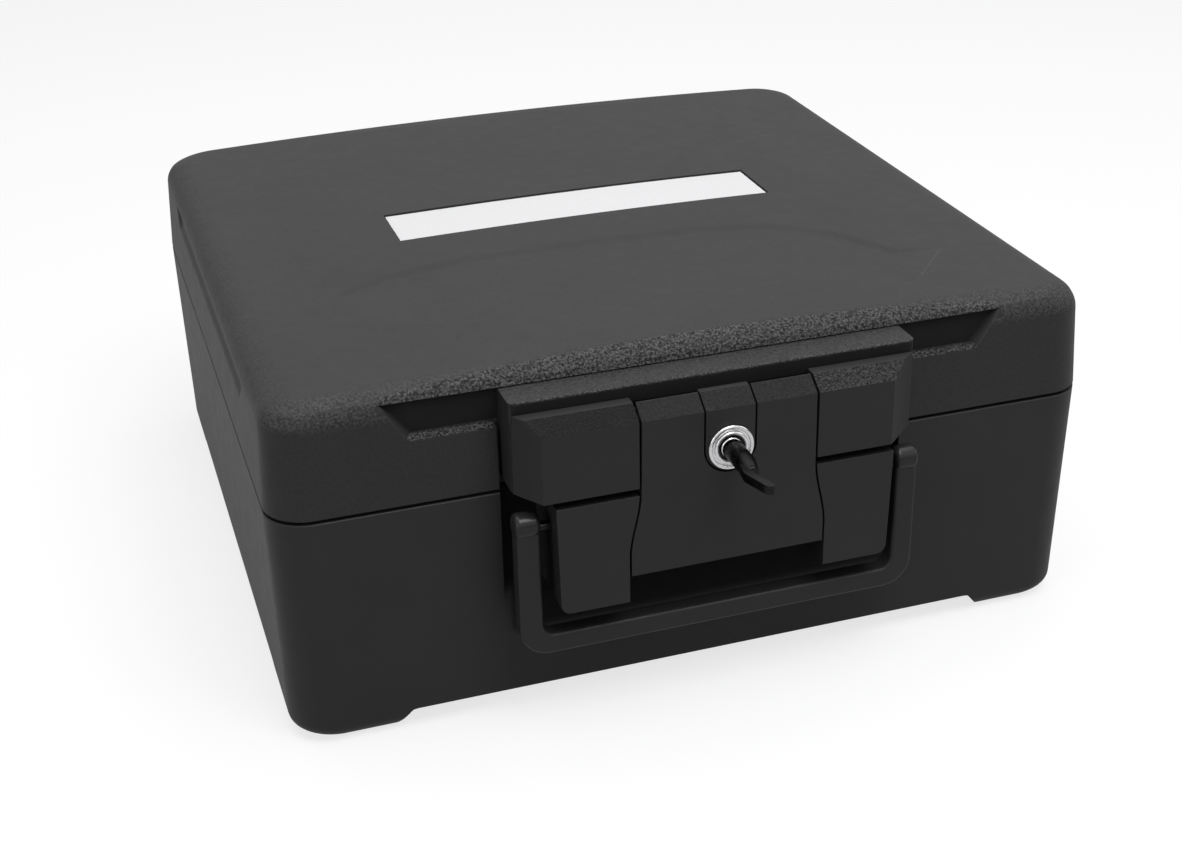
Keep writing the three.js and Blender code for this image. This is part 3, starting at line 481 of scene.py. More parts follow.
def graded(stops, end):
    """Places from the first stop to the end. Each stop is (place, spacing after it)."""
    places = []
    bounds = stops + [(end, 0)]
    for (start, spacing), (after, _) in zip(bounds, bounds[1:]):
        count = max(1, math.ceil((after - start) / spacing - WHOLE_MARGIN))
        places += [start + (after - start) * i / count for i in range(count)]
    return places + [end]


def both_ways(half):
    """Places from minus the last to the last, drawn from places that start at zero."""
    return np.array([-place for place in reversed(half[1:])] + half)


def face_out(mesh):
    work = bmesh.new()
    work.from_mesh(mesh)
    bmesh.ops.recalc_face_normals(work, faces=work.faces)
    work.to_mesh(mesh)
    work.free()


def shade(mesh, smooth_angle):
    mesh.shade_smooth()
    mesh.set_sharp_from_angle(angle=math.radians(smooth_angle))


# Shells: rings round the case that end in a cap of straight rows and columns
def spread(places, keep_low, keep_high, low, high):
    """Keeps the middle places where they are and stretches the ends to a new reach."""
    first, last = places.min(), places.max()
    below = keep_low + (places - keep_low) * (low - keep_low) / (first - keep_low)
    above = keep_high + (places - keep_high) * (high - keep_high) / (last - keep_high)
    return np.where(places < keep_low, below, np.where(places > keep_high, above, places))


class RoundedCase:
    """Nodes of a rounded rectangle in plan, with half of each corner arc on either side."""

    def __init__(self, columns, rows, corner_steps):
        self.columns = columns
        self.rows = rows
        steps = corner_steps
        self.across = len(columns) + 2 * steps
        self.along = len(rows) + 2 * steps
        eighth = math.pi / 4
        arc = [eighth * i / steps for i in range(steps)]
        nodes = []
        for quarter, (places, kind) in enumerate([(columns, "near"), (rows, "right"),
                                                  (columns[::-1], "far"), (rows[::-1], "left")]):
            turn = quarter * math.pi / 2
            side = quarter % 2
            before = [("arc", quarter, turn - 3 * eighth + a, 0, abs(side - 0.5 + 0.5 * a / eighth))
                      for a in arc]
            after = [("arc", quarter + 1, turn - 2 * eighth + eighth * (i + 1) / steps, 0,
                      abs(side - 0.5 * (i + 1) / steps)) for i in range(steps)]
            straight = [(kind, 0, 0, place, side) for place in places]
            nodes += before + straight + after[:-1]
        self.kinds = np.array([node[0] for node in nodes])
        self.corner = np.array([node[1] % 4 for node in nodes])
        self.angle = np.array([node[2] for node in nodes])
        self.place = np.array([node[3] for node in nodes], float)
        self.side_share = np.array([node[4] for node in nodes], float)
        self.count = len(nodes)

    def ring(self, half, near, far, radius, keep_x, keep_y):
        """Plan positions, for sizes that may differ from node to node."""
        sizes = (half, near, far, radius)
        half, near, far, radius = (np.broadcast_to(size, self.count) for size in sizes)
        x = np.zeros(self.count)
        y = np.zeros(self.count)
        for kind in ("near", "far"):
            pick = self.kinds == kind
            reach = half[pick] - radius[pick]
            x[pick] = spread(self.place[pick], -keep_x, keep_x, -reach, reach)
            y[pick] = near[pick] if kind == "near" else far[pick]
        for kind, sign in (("left", -1), ("right", 1)):
            pick = self.kinds == kind
            y[pick] = spread(self.place[pick], -keep_y, keep_y, near[pick] + radius[pick],
                             far[pick] - radius[pick])
            x[pick] = sign * half[pick]
        pick = self.kinds == "arc"
        right = (self.corner[pick] == 1) | (self.corner[pick] == 2)
        back = (self.corner[pick] == 2) | (self.corner[pick] == 3)
        middle_x = np.where(right, 1, -1) * (half[pick] - radius[pick])
        middle_y = np.where(back, far[pick] - radius[pick], near[pick] + radius[pick])
        x[pick] = middle_x + radius[pick] * np.cos(self.angle[pick])
        y[pick] = middle_y + radius[pick] * np.sin(self.angle[pick])
        return x, y

    def skin(self, inner_rings, outer_rings, cap_height):
        """Points and faces from the innermost ring out over the rim, up to the cap."""
        rings = inner_rings + outer_rings
        count = self.count
        points = [np.stack(ring, 1) for ring in rings]
        faces = []
        index = np.arange(count)
        after = (index + 1) % count
        for k in range(len(rings) - 1):
            start = k * count
            faces += np.stack([start + index, start + after, start + count + after,
                               start + count + index], 1).tolist()
        hub = len(rings) * count
        points.append(points[0].mean(0)[None])
        faces += np.stack([after, index, np.full(count, hub)], 1).tolist()
        last = (len(rings) - 1) * count
        edge_x, edge_y, _ = rings[-1]
        across, along = self.across, self.along
        xs = edge_x[:across - 1]
        ys = edge_y[across - 1:across + along - 2]
        grid_x, grid_y = np.meshgrid(xs[1:], ys[1:], indexing="ij")
        flat = np.stack([grid_x.ravel(), grid_y.ravel(), cap_height(grid_x, grid_y).ravel()], 1)
        points.append(flat)
        inner = hub + 1 + np.arange(flat.shape[0]).reshape(grid_x.shape)
        grid = np.zeros((across, along), int)
        grid[1:-1, 1:-1] = inner
        lap = last + index
        grid[:-1, 0] = lap[:across - 1]
        grid[-1, :-1] = lap[across - 1:across + along - 2]
        grid[:0:-1, -1] = lap[across + along - 2:2 * across + along - 3]
        grid[0, :0:-1] = lap[2 * across + along - 3:]
        faces += np.stack([grid[:-1, :-1].ravel(), grid[1:, :-1].ravel(), grid[1:, 1:].ravel(),
                           grid[:-1, 1:].ravel()], 1).tolist()
        return np.concatenate(points), faces


def crown_at(x):
    return CROWN_RISE * (1 - (x / (CASE_WIDTH / 2)) ** 2)


def lid_lean(z):
    return LID_DRAFT * (z - LID_BOTTOM) / (LID_WALL_TOP - LID_BOTTOM)


def base_lean(z):
    return BASE_DRAFT * (BASE_TOP - z) / (BASE_TOP - BOTTOM_ROUND)


def slanted_recess(along, z, half_low, half_high, low, high, bevel):
    """How far a place lies inside a recess with slanted ends, measured along its bevel."""
    share = (z - low) / (high - low)
    slant = (half_high - half_low) / (high - low)
    from_end = (half_low + (half_high - half_low) * share - np.abs(along)) / (1 + slant * (1 - share))
    return smooth_min(from_end, z - low, bevel / 3) / bevel


def in_front_recess(x, y, z):
    inside = slanted_recess(x, z, FRONT_RECESS_HALF_LOW, FRONT_RECESS_HALF_HIGH, FRONT_RECESS_LOW,
                            FRONT_RECESS_HIGH, FRONT_BEVEL)
    floor = smooth_min(FRONT + FRONT_RECESS_DEPTH * inside, POCKET_FLOOR, RECESS_FLOOR_BLEND)
    deep = smooth_max(y, floor, RECESS_WALL_BLEND)
    in_pocket = (np.abs(x) < POCKET_HALF) & (z < LID_POCKET_TOP)
    return np.where(in_pocket, np.maximum(deep, POCKET_FLOOR), deep)


def in_side_recess(x, y, z):
    inside = slanted_recess(y, z, SIDE_RECESS_HALF_LOW, SIDE_RECESS_HALF_HIGH, SIDE_RECESS_LOW,
                            SIDE_RECESS_HIGH, SIDE_BEVEL)
    inside = smooth_min(inside, (SIDE_RECESS_HIGH - z) / SIDE_BEVEL, SIDE_RECESS_TOP_SHARE)
    floor = smooth_max(CASE_WIDTH / 2 - SIDE_RECESS_DEPTH * inside, CASE_WIDTH / 2 - SIDE_RECESS_DEPTH,
                       RECESS_FLOOR_BLEND)
    return smooth_min(np.abs(x), floor, RECESS_WALL_BLEND)


def panel_at(x, y):
    """The slightly raised middle of the lid's top, which fades out to the left and right."""
    front_x, front_y = zip(*PANEL_FRONT)
    rear_x, rear_y = zip(*PANEL_REAR)
    near = smooth_step((y - np.interp(x, front_x, front_y)) / PANEL_SLOPE + 0.5)
    far = smooth_step((np.interp(x, rear_x, rear_y) - y) / PANEL_SLOPE + 0.5)
    fade = smooth_step((PANEL_FADE_END - np.abs(x)) / PANEL_FADE_WIDTH)
    return PANEL_RISE * near * far * fade


def lid_top(x, y):
    bed = (np.abs(x) < LABEL_EDGE_X) & (np.abs(y) < LABEL_EDGE_Y)
    return LID_EDGE + crown_at(x) + panel_at(x, y) - PANEL_RISE - LABEL_BED * bed


lid_plan = RoundedCase(both_ways(graded(LID_COLUMN_STOPS, LID_COLUMN_END)),
                       both_ways(graded(LID_ROW_STOPS, LID_ROW_END)), CORNER_STEPS)


def lid_heights(levels, ledge_start, ledge_step, floor_start, high):
    """Heights up a wall of the lid: the plain part, the ledge under the recess, and its floor."""
    ledge = [ledge_start + ledge_step * i for i in range(LEDGE_LEVELS)]
    return levels + ledge + np.linspace(floor_start, high, FLOOR_LEVELS).tolist()


def lid_ring(front_z, side_z, carve, offset=0):
    """One level of the lid's outside. Carve is 'in', 'ledge' or 'out'."""
    share = lid_plan.side_share
    z = (1 - share) * front_z + share * side_z
    rough_x, _ = lid_plan.ring(CASE_WIDTH / 2, FRONT, BACK, CORNER_RADIUS, KEEP_X, KEEP_Y)
    rise = np.clip((z - LID_WALL_TOP) / (LID_TOP_ROUND + crown_at(rough_x)), 0, 1)
    turn = np.arcsin(rise)
    return lid_level(turn, z, carve, offset)


def lid_level(turn, z, carve, offset=0):
    reach = 1 - np.cos(turn)
    lean = lid_lean(np.minimum(z, LID_WALL_TOP))
    side = lean + LID_SIDE_ROUND * reach + offset
    near = lean + LID_FRONT_ROUND * reach + offset
    radius = CORNER_RADIUS + (TOP_CORNER_RADIUS - CORNER_RADIUS) * reach - offset
    x, y = lid_plan.ring(CASE_WIDTH / 2 - side, FRONT + near, BACK - side, radius, KEEP_X, KEEP_Y)
    if carve == "out":
        return x, y, z
    is_front = lid_plan.kinds == "near"
    is_side = (lid_plan.kinds == "left") | (lid_plan.kinds == "right")
    deep_y = in_front_recess(x, y, z)
    deep_x = in_side_recess(x, y, z)
    if carve == "ledge":
        deep_y = np.minimum(deep_y, y + LEDGE_EASE)
        deep_x = np.maximum(deep_x, np.abs(x) - LEDGE_EASE)
    return np.where(is_side, np.sign(x) * deep_x, x), np.where(is_front, deep_y, y), z


def lid_walls():
    """Rings from the rim up to just above the recesses."""
    fronts = lid_heights(LID_FRONT_LEVELS, FRONT_LEDGE_START, FRONT_LEDGE_STEP, FRONT_FLOOR_START,
                         FRONT_RECESS_HIGH)
    sides = lid_heights(LID_SIDE_LEVELS, SIDE_LEDGE_START, SIDE_LEDGE_STEP, SIDE_FLOOR_START,
                        SIDE_RECESS_HIGH)
    rings = [lid_ring(LID_BOTTOM, LID_BOTTOM, "in", RIM_EASE)]
    rings += [lid_ring(front_z, side_z, "in") for front_z, side_z in zip(fronts, sides)]
    rings.append(lid_ring(FRONT_RECESS_HIGH, SIDE_RECESS_HIGH, "ledge"))
    rings += [lid_ring(FRONT_RECESS_HIGH + step, SIDE_RECESS_HIGH + step, "out") for step in BROW_STEPS]
    return rings


def lid_round(x, z):
    """Rings over the round edge, from the last ring of the walls to the edge of the top."""
    rings = []
    start = np.arcsin(np.clip((z - LID_WALL_TOP) / (LID_TOP_ROUND + crown_at(x)), 0, 1))
    for step in range(1, LID_ROUND_STEPS + 1):
        turn = start + (math.pi / 2 - start) * step / LID_ROUND_STEPS
        x, y, _ = lid_level(turn, np.full(lid_plan.count, LID_EDGE), "out")
        height = LID_WALL_TOP + (LID_TOP_ROUND + crown_at(x)) * np.sin(turn)
        sunk = (panel_at(x, y) - PANEL_RISE) * smooth_step(np.sin(turn) * 2 - 1)
        band = BAND_RISE * brow_band(x, y, height)
        rings.append((x, y - band * np.cos(turn), height + sunk + band * np.sin(turn)))
    return rings


def lid_skin():
    rings = lid_walls()
    rings += lid_round(rings[-1][0], rings[-1][2])
    inner = []
    for height in LID_INSIDE_LEVELS:
        x, y, z = lid_ring(height, height, "in", SHELL_WALL + (RIM_EASE if height == LID_BOTTOM else 0))
        is_front = (lid_plan.kinds == "near") & (np.abs(x) < FRONT_RECESS_HALF_HIGH)
        inner.append((x, np.where(is_front, np.maximum(y, POCKET_FLOOR + SHELL_WALL), y), z))
    return lid_plan.skin(inner, rings, lid_top)


# Base
base_plan = RoundedCase(both_ways(graded(BASE_COLUMN_STOPS, BASE_COLUMN_END)),
                        both_ways(graded(BASE_ROW_STOPS, BASE_ROW_END)), CORNER_STEPS)


def scoop_at(z):
    """The scooped front wall behind the latch."""
    turn = np.arccos(np.clip(1 - (z - POCKET_FOOT) / (POCKET_TURN - POCKET_FOOT), 0, 1))
    return np.where(z > POCKET_FOOT, FRONT + FRONT_RECESS_DEPTH * np.sin(turn), FRONT - SCOOP_OUTSIDE)


def underside(x, y):
    """Height of the case's underside: the two channels between the feet."""
    across = (CASE_WIDTH / 2 - FOOT_WIDTH - np.abs(x)) * FOOT_HEIGHT / FOOT_SLOPE
    along = (CASE_DEPTH / 2 - FOOT_LENGTH - np.abs(y)) * FOOT_HEIGHT / FOOT_SLOPE
    high = smooth_max(across, along, FOOT_CROSS_BLEND)
    return smooth_max(smooth_min(high, FOOT_HEIGHT, FOOT_EDGE_BLEND), 0, FOOT_EDGE_BLEND)


def base_level(turn, z, offset=0):
    side = base_lean(max(z, BOTTOM_ROUND)) + BOTTOM_ROUND * (1 - math.cos(turn)) + offset
    x, y = base_plan.ring(CASE_WIDTH / 2 - side, FRONT + side, BACK - side, CORNER_RADIUS - offset,
                          KEEP_X, KEEP_Y)
    height = np.full(base_plan.count, float(z))
    in_scoop = (base_plan.kinds == "near") & (np.abs(x) < POCKET_HALF)
    y = np.where(in_scoop, smooth_max(y, scoop_at(height) + offset, SCOOP_BLEND), y)
    return x, y, height


def base_skin():
    rings = [base_level(0, BASE_TOP, RIM_EASE)]
    rings += [base_level(0, z) for z in BASE_LEVELS]
    for step in range(BASE_ROUND_STEPS + 1):
        turn = math.pi / 2 * step / BASE_ROUND_STEPS
        x, y, z = base_level(turn, BOTTOM_ROUND * (1 - math.sin(turn)))
        rings.append((x, y, np.maximum(z, underside(x, y))))
    inner = [base_level(0, z, SHELL_WALL) for z in BASE_INSIDE_LEVELS]
    inner.append(base_level(0, BASE_TOP, SHELL_WALL + RIM_EASE))
    return base_plan.skin(inner, rings, underside)


# Small solids: outlines drawn out along an axis, cut and joined, with their edges eased
AXIS_ORDERS = {"x": (2, 0, 1), "y": (0, 2, 1), "z": (0, 1, 2)}


def arc(centre_u, centre_v, radius, start, end, steps=ARC_STEPS):
    turns = np.linspace(start, end, steps + 1)
    return [(centre_u + radius * math.cos(turn), centre_v + radius * math.sin(turn)) for turn in turns]


def mirrored(points):
    return [(-u, v) for u, v in reversed(points)]


def along_axis(axis, u, v, level):
    values = (u, v, level)
    return tuple(values[k] for k in AXIS_ORDERS[axis])


def prism(axis, outline, low, high):
    """A solid whose outline is drawn in the other two axes: (y, z), (x, z) or (x, y)."""
    points = [along_axis(axis, u, v, level) for level in (low, high) for u, v in outline]
    count = len(outline)
    faces = [tuple(range(count)), tuple(range(2 * count - 1, count - 1, -1))]
    faces += [(i, i + count, (i + 1) % count + count, (i + 1) % count) for i in range(count)]
    return points, faces


def block(x0, x1, y0, y1, z0, z1):
    return prism("z", [(x0, y0), (x1, y0), (x1, y1), (x0, y1)], z0, z1)


def turned(axis, profile, centre, sides=TURNED_SIDES):
    """A solid turned about an axis. Profile points are (radius, place along the axis)."""
    points = []
    for radius, place in profile:
        for i in range(sides):
            turn = 2 * math.pi * i / sides
            u = centre[0] + radius * math.cos(turn)
            v = centre[1] + radius * math.sin(turn)
            points.append(along_axis(axis, u, v, place))
    faces = []
    for k in range(len(profile) - 1):
        for i in range(sides):
            a = k * sides + i
            b = k * sides + (i + 1) % sides
            faces.append((a, b, b + sides, a + sides))
    faces.append(tuple(range(sides)))
    faces.append(tuple(range(len(profile) * sides - 1, (len(profile) - 1) * sides - 1, -1)))
    return points, faces


def ring_turned(axis, profile, centre, sides=RING_SIDES):
    """A ring turned about an axis from a closed profile of (radius, place) points."""
    points, faces = turned(axis, profile + profile[:1], centre, sides)
    count = len(profile) * sides
    return points[:count], [tuple(index % count for index in face) for face in faces[:-2]]


def rod(axis, radius, low, high, centre, chamfer=0, sides=SMALL_SIDES):
    if chamfer:
        profile = [(radius - chamfer, low), (radius, low + chamfer), (radius, high - chamfer),
                   (radius - chamfer, high)]
    else:
        profile = [(radius, low), (radius, high)]
    return turned(axis, profile, centre, sides)


def raw_object(name, solid):
    """An object that isn't dressed yet. Its solid is points and faces, in millimetres."""
    points, faces = solid
    mesh = bpy.data.meshes.new(name)
    mesh.from_pydata([(x * MM, y * MM + ROW_SHIFT, z * MM) for x, y, z in points], [], faces)
    face_out(mesh)
    obj = bpy.data.objects.new(name, mesh)
    bpy.context.scene.collection.objects.link(obj)
    return obj


def keep_result(obj):
    """Turns the object's modifiers into its mesh."""
    bpy.context.view_layer.update()
    made = bpy.data.meshes.new_from_object(obj.evaluated_get(bpy.context.evaluated_depsgraph_get()))
    old = obj.data
    obj.modifiers.clear()
    obj.data = made
    bpy.data.meshes.remove(old)


def carved(name, first, *steps):
    """A solid after a row of steps, each an operation and the solid or object that it uses up."""
    return carved_on(raw_object(name, first), *steps)


def carved_on(obj, *steps):
    for operation, tool in steps:
        other = raw_object("tool", tool) if isinstance(tool, tuple) else tool
        step = obj.modifiers.new("step", "BOOLEAN")
        step.operation = {"join": "UNION", "cut": "DIFFERENCE", "cross": "INTERSECT"}[operation]
        step.solver = "EXACT"
        step.object = other
        keep_result(obj)
        bpy.data.objects.remove(other)
    return obj


def eased(obj, width, segments=3):
    """Rounds the edges that turn by more than the easing angle."""
    work = bmesh.new()
    work.from_mesh(obj.data)
    bmesh.ops.remove_doubles(work, verts=work.verts, dist=MERGE_GAP * MM)
    bmesh.ops.dissolve_limit(work, angle_limit=math.radians(FLAT_ANGLE), verts=work.verts, edges=work.edges)
    work.to_mesh(obj.data)
    work.free()
    ease = obj.modifiers.new("ease", "BEVEL")
    ease.width = width * MM
    ease.segments = segments
    ease.limit_method = "ANGLE"
    ease.angle_limit = math.radians(EASE_ANGLE)
    keep_result(obj)
    return smoothed(obj)


def smoothed(obj):
    shade(obj.data, SMOOTH_ANGLE)
    weigh = obj.modifiers.new("weigh", "WEIGHTED_NORMAL")
    weigh.keep_sharp = True
    return obj


def dress(obj, name, body, material, *nodes):
    """Names the piece, gives it its material and puts it on its body in place of CAD nodes."""
    obj.name = name
    obj.data.name = name
    obj.data.materials.clear()
    obj.data.materials.append(material)
    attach(obj, body)
    if nodes:
        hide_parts(*nodes)
    return obj


# Nodes that the materials share
LOOK = "_look"


def feed(tree, node, inputs):
    """Sets a node's inputs, each to another node's output or to a plain value."""
    for name, value in inputs.items():
        if isinstance(value, bpy.types.NodeSocket):
            tree.links.new(value, node.inputs[name])
        else:
            node.inputs[name].default_value = value


def add_node(tree, kind, inputs=None, **settings):
    node = tree.nodes.new("ShaderNode" + kind)
    for name, value in settings.items():
        setattr(node, name, value)
    feed(tree, node, inputs or {})
    return node


def new_material(name):
    material = bpy.data.materials.new(name + LOOK)
    material.use_nodes = True
    material.node_tree.nodes.clear()
    return material, material.node_tree


def finish_surface(tree, inputs):
    shader = add_node(tree, "BsdfPrincipled", inputs)
    add_node(tree, "OutputMaterial", {"Surface": shader.outputs["BSDF"]})


def place_node(tree):
    return add_node(tree, "TexCoord").outputs["Object"]


def noise_node(tree, place, size, detail, rough=0.5):
    """Noise whose lumps are about a size in millimetres."""
    inputs = {"Vector": place, "Scale": 1 / (size * MM), "Detail": detail, "Roughness": rough}
    return add_node(tree, "TexNoise", inputs).outputs["Fac"]


def cell_node(tree, place, size, smooth):
    """Rounded cells about a size in millimetres across."""
    inputs = {"Vector": place, "Scale": 1 / (size * MM), "Smoothness": smooth}
    return add_node(tree, "TexVoronoi", inputs, feature="SMOOTH_F1").outputs["Distance"]


def range_node(tree, value, low_in, high_in, low_out, high_out):
    inputs = {"Value": value, "From Min": low_in, "From Max": high_in,
              "To Min": low_out, "To Max": high_out}
    return add_node(tree, "MapRange", inputs).outputs["Result"]


def math_node(tree, operation, a, b):
    return add_node(tree, "Math", {0: a, 1: b}, operation=operation).outputs["Value"]


def product_node(tree, a, b):
    return math_node(tree, "MULTIPLY", a, b)


def tones_node(tree, value, low, high, dark, light):
    """A colour between two tones as the value goes from low to high."""
    node = add_node(tree, "ValToRGB", {"Fac": value})
    for element, position, tone in zip(node.color_ramp.elements, (low, high), (dark, light)):
        element.position = position
        element.color = tone
    return node.outputs["Color"]


def mix_node(tree, share, first, second):
    """The first colour where the share is 0, and the second where it is 1."""
    inputs = {"Factor": share, "A": first, "B": second}
    return add_node(tree, "Mix", inputs, data_type="RGBA").outputs["Result"]


def bump_node(tree, height, distance, before=None):
    """A bump whose full height is a distance in millimetres, on its own or on another bump."""
    inputs = {"Height": height, "Distance": distance * MM}
    if before is not None:
        inputs["Normal"] = before
    return add_node(tree, "Bump", inputs).outputs["Normal"]


def attribute_node(tree, name):
    return add_node(tree, "Attribute", attribute_name=name).outputs["Fac"]


# Materials
WHITE = (1, 1, 1, 1)


def grey(value):
    return (value, value, value * BLUE_SHARE, 1)


def scratch_node(tree, place, start, end):
    """1 along a broken hairline between two places on the top, in millimetres, and 0 elsewhere."""
    run = Vector(end) - Vector(start)
    middle = (Vector(start) + Vector(end)) / 2
    location = (middle.x * MM, middle.y * MM + ROW_SHIFT, 0)
    rotation = (0, 0, math.atan2(run.y, run.x))
    inputs = {"Vector": place, "Location": location, "Rotation": rotation}
    moved = add_node(tree, "Mapping", inputs, vector_type="TEXTURE")
    parts = add_node(tree, "SeparateXYZ", {"Vector": moved.outputs["Vector"]})
    across = math_node(tree, "ABSOLUTE", parts.outputs["Y"], 0)
    along = math_node(tree, "ABSOLUTE", parts.outputs["X"], 0)
    half = SCRATCH_HALF * MM
    length = run.length * MM
    thin = range_node(tree, across, half * SCRATCH_CORE_SHARE, half, 1, 0)
    long = range_node(tree, along, length * SCRATCH_FULL_SHARE, length / 2, 1, 0)
    broken = range_node(tree, noise_node(tree, place, **SCRATCH_BREAKS), BREAK_LOW, BREAK_HIGH, 0, 1)
    on_top = range_node(tree, parts.outputs["Z"], (LID_EDGE - SCRATCH_DEPTH_BAND) * MM, LID_EDGE * MM, 0, 1)
    return product_node(tree, product_node(tree, product_node(tree, thin, long), broken), on_top)


def lumps_node(tree, place):
    """The height of the coarse grain: rounded pebbles on a ripple."""
    ripple = product_node(tree, noise_node(tree, place, **RIPPLE), RIPPLE_SHARE)
    pebbles = math_node(tree, "SUBTRACT", 1, cell_node(tree, place, PEBBLE_SIZE, PEBBLE_SMOOTHNESS))
    return math_node(tree, "ADD", product_node(tree, pebbles, PEBBLE_SHARE), ripple)


def speckle_node(tree, lumps, tone):
    """The coarse grain's colour: painted shade in its hollows and a painted sheen on its lumps."""
    return tones_node(tree, product_node(tree, lumps, LUMP_TONE_SHARE), SPECKLE_LOW, SPECKLE_HIGH,
                      grey(tone * GRAIN_HOLLOW_SHADE_SHARE), grey(tone * GRAIN_LUMP_SHEEN_SHARE))


def worn_node(tree, place, rough):
    """Roughness that wanders a little, and changes where the mesh has grain, shade or polish."""
    worn = range_node(tree, noise_node(tree, place, **WEAR), NOISE_LOW, NOISE_HIGH, rough - WORN_CHANGE,
                      rough + WORN_CHANGE)
    for attribute, change in ROUGH_CHANGES.items():
        worn = math_node(tree, "ADD", worn, product_node(tree, attribute_node(tree, attribute), change))
    return worn


def moulded_plastic(name, tone, rough, specular, fine_height, coarse_height, scratches=()):
    """Moulded plastic. The mesh's attributes say where it has coarse grain, painted shade or a worn polish.
    """
    material, tree = new_material(name)
    place = place_node(tree)
    lit = tones_node(tree, noise_node(tree, place, **CLOUD), CLOUD_LOW, CLOUD_HIGH,
                     grey(tone * CLOUD_DARK_SHARE), grey(tone * CLOUD_LIGHT_SHARE))
    normal = bump_node(tree, noise_node(tree, place, **FINE_GRAIN), fine_height)
    if coarse_height:
        grain = attribute_node(tree, "grain")
        lumps = lumps_node(tree, place)
        # The speckle's colour is partly real grain and partly painted shade and sheen
        lit = mix_node(tree, grain, lit, speckle_node(tree, lumps, tone))
        normal = bump_node(tree, product_node(tree, lumps, grain), coarse_height, normal)
    for start, end in scratches:
        lit = mix_node(tree, scratch_node(tree, place, start, end), lit, grey(tone * SCRATCH_LIGHT_SHARE))
    # Painted shade: the colour goes towards a tenth of the tone where the shade attribute is 1
    shaded = mix_node(tree, attribute_node(tree, "shade"), lit, grey(tone * SHADE_TONE_SHARE))
    finish_surface(tree, {"Base Color": shaded, "Roughness": worn_node(tree, place, rough),
                          "Specular IOR Level": specular, "Normal": normal})
    return material


def metal(name, tone, low_rough, high_rough, mark_height, wave_height=0):
    """Plated or drawn metal with a cloudy polish, faint marks and, if asked for, a slightly wavy face."""
    material, tree = new_material(name)
    place = place_node(tree)
    cloudy = noise_node(tree, place, **METAL_CLOUD)
    colour = tones_node(tree, cloudy, NOISE_LOW, NOISE_HIGH, grey(tone * METAL_DARK_SHARE), grey(tone))
    roughness = range_node(tree, cloudy, NOISE_LOW, NOISE_HIGH, low_rough, high_rough)
    normal = bump_node(tree, noise_node(tree, place, **METAL_MARKS), mark_height)
    if wave_height:
        normal = bump_node(tree, noise_node(tree, place, **METAL_WAVES), wave_height, normal)
    finish_surface(tree, {"Base Color": colour, "Roughness": roughness, "Metallic": 1, "Normal": normal})
    return material


def chalky(name, dark, light, pore_size, pore_height, rough):
    """A dull surface with pores, for the filling, the gasket and the label."""
    material, tree = new_material(name)
    pores = noise_node(tree, place_node(tree), pore_size, **PORES)
    colour = tones_node(tree, pores, NOISE_LOW, NOISE_HIGH, dark, light)
    roughness = range_node(tree, pores, NOISE_LOW, NOISE_HIGH, rough - CHALK_SMOOTHER,
                           rough + CHALK_ROUGHER)
    finish_surface(tree, {"Base Color": colour, "Roughness": roughness,
                          "Normal": bump_node(tree, pores, pore_height)})
    return material


CASE = moulded_plastic("case_plastic", tone=0.031, rough=0.5, specular=0.24, fine_height=0.006,
                       coarse_height=0.6, scratches=SCRATCHES)
LATCH = moulded_plastic("latch_plastic", tone=0.027, rough=0.42, specular=0.25, fine_height=0.004,
                        coarse_height=0.9)
LINING = moulded_plastic("liner_plastic", tone=0.022, rough=0.48, specular=0.25, fine_height=0.006,
                         coarse_height=0)
FILLING = chalky("cast_filling", dark=(0.42, 0.40, 0.35, 1), light=(0.58, 0.56, 0.50, 1), pore_size=2.5,
                 pore_height=0.4, rough=0.9)
RUBBER = chalky("gasket_rubber", dark=grey(0.010), light=grey(0.018), pore_size=0.8, pore_height=0.05,
                rough=0.75)
PAPER = chalky("label_white", dark=grey(0.78), light=grey(0.84), pore_size=1.2, pore_height=0.01,
               rough=0.55)
CHROME = metal("bright_chrome", tone=0.86, low_rough=0.04, high_rough=0.1, mark_height=0.002,
               wave_height=0.15)
STEEL = metal("plain_steel", tone=0.45, low_rough=0.25, high_rough=0.4, mark_height=0.004)
DARK_STEEL = metal("dark_steel", tone=0.026, low_rough=0.2, high_rough=0.34, mark_height=0.004)


# Where the grain, the shade and the polish lie. A mask gives 0 to 1.
def brow_band(x, y, z):
    """1 on the grained band along the lid's front edge above the recess, and 0 elsewhere."""
    rear = BAND_REAR_MIDDLE + (BAND_REAR_END - BAND_REAR_MIDDLE) * (x / FRONT_RECESS_HALF_HIGH) ** 2
    end = FRONT_RECESS_HALF_HIGH - BAND_END_SLANT * (z - FRONT_RECESS_HIGH)
    before_rear = smooth_step((rear - y) / BAND_FADE + 0.5)
    between_ends = smooth_step((end - np.abs(x)) / BAND_FADE + 0.5)
    return before_rear * between_ends * (z > FRONT_RECESS_HIGH - EDGE_MARGIN)


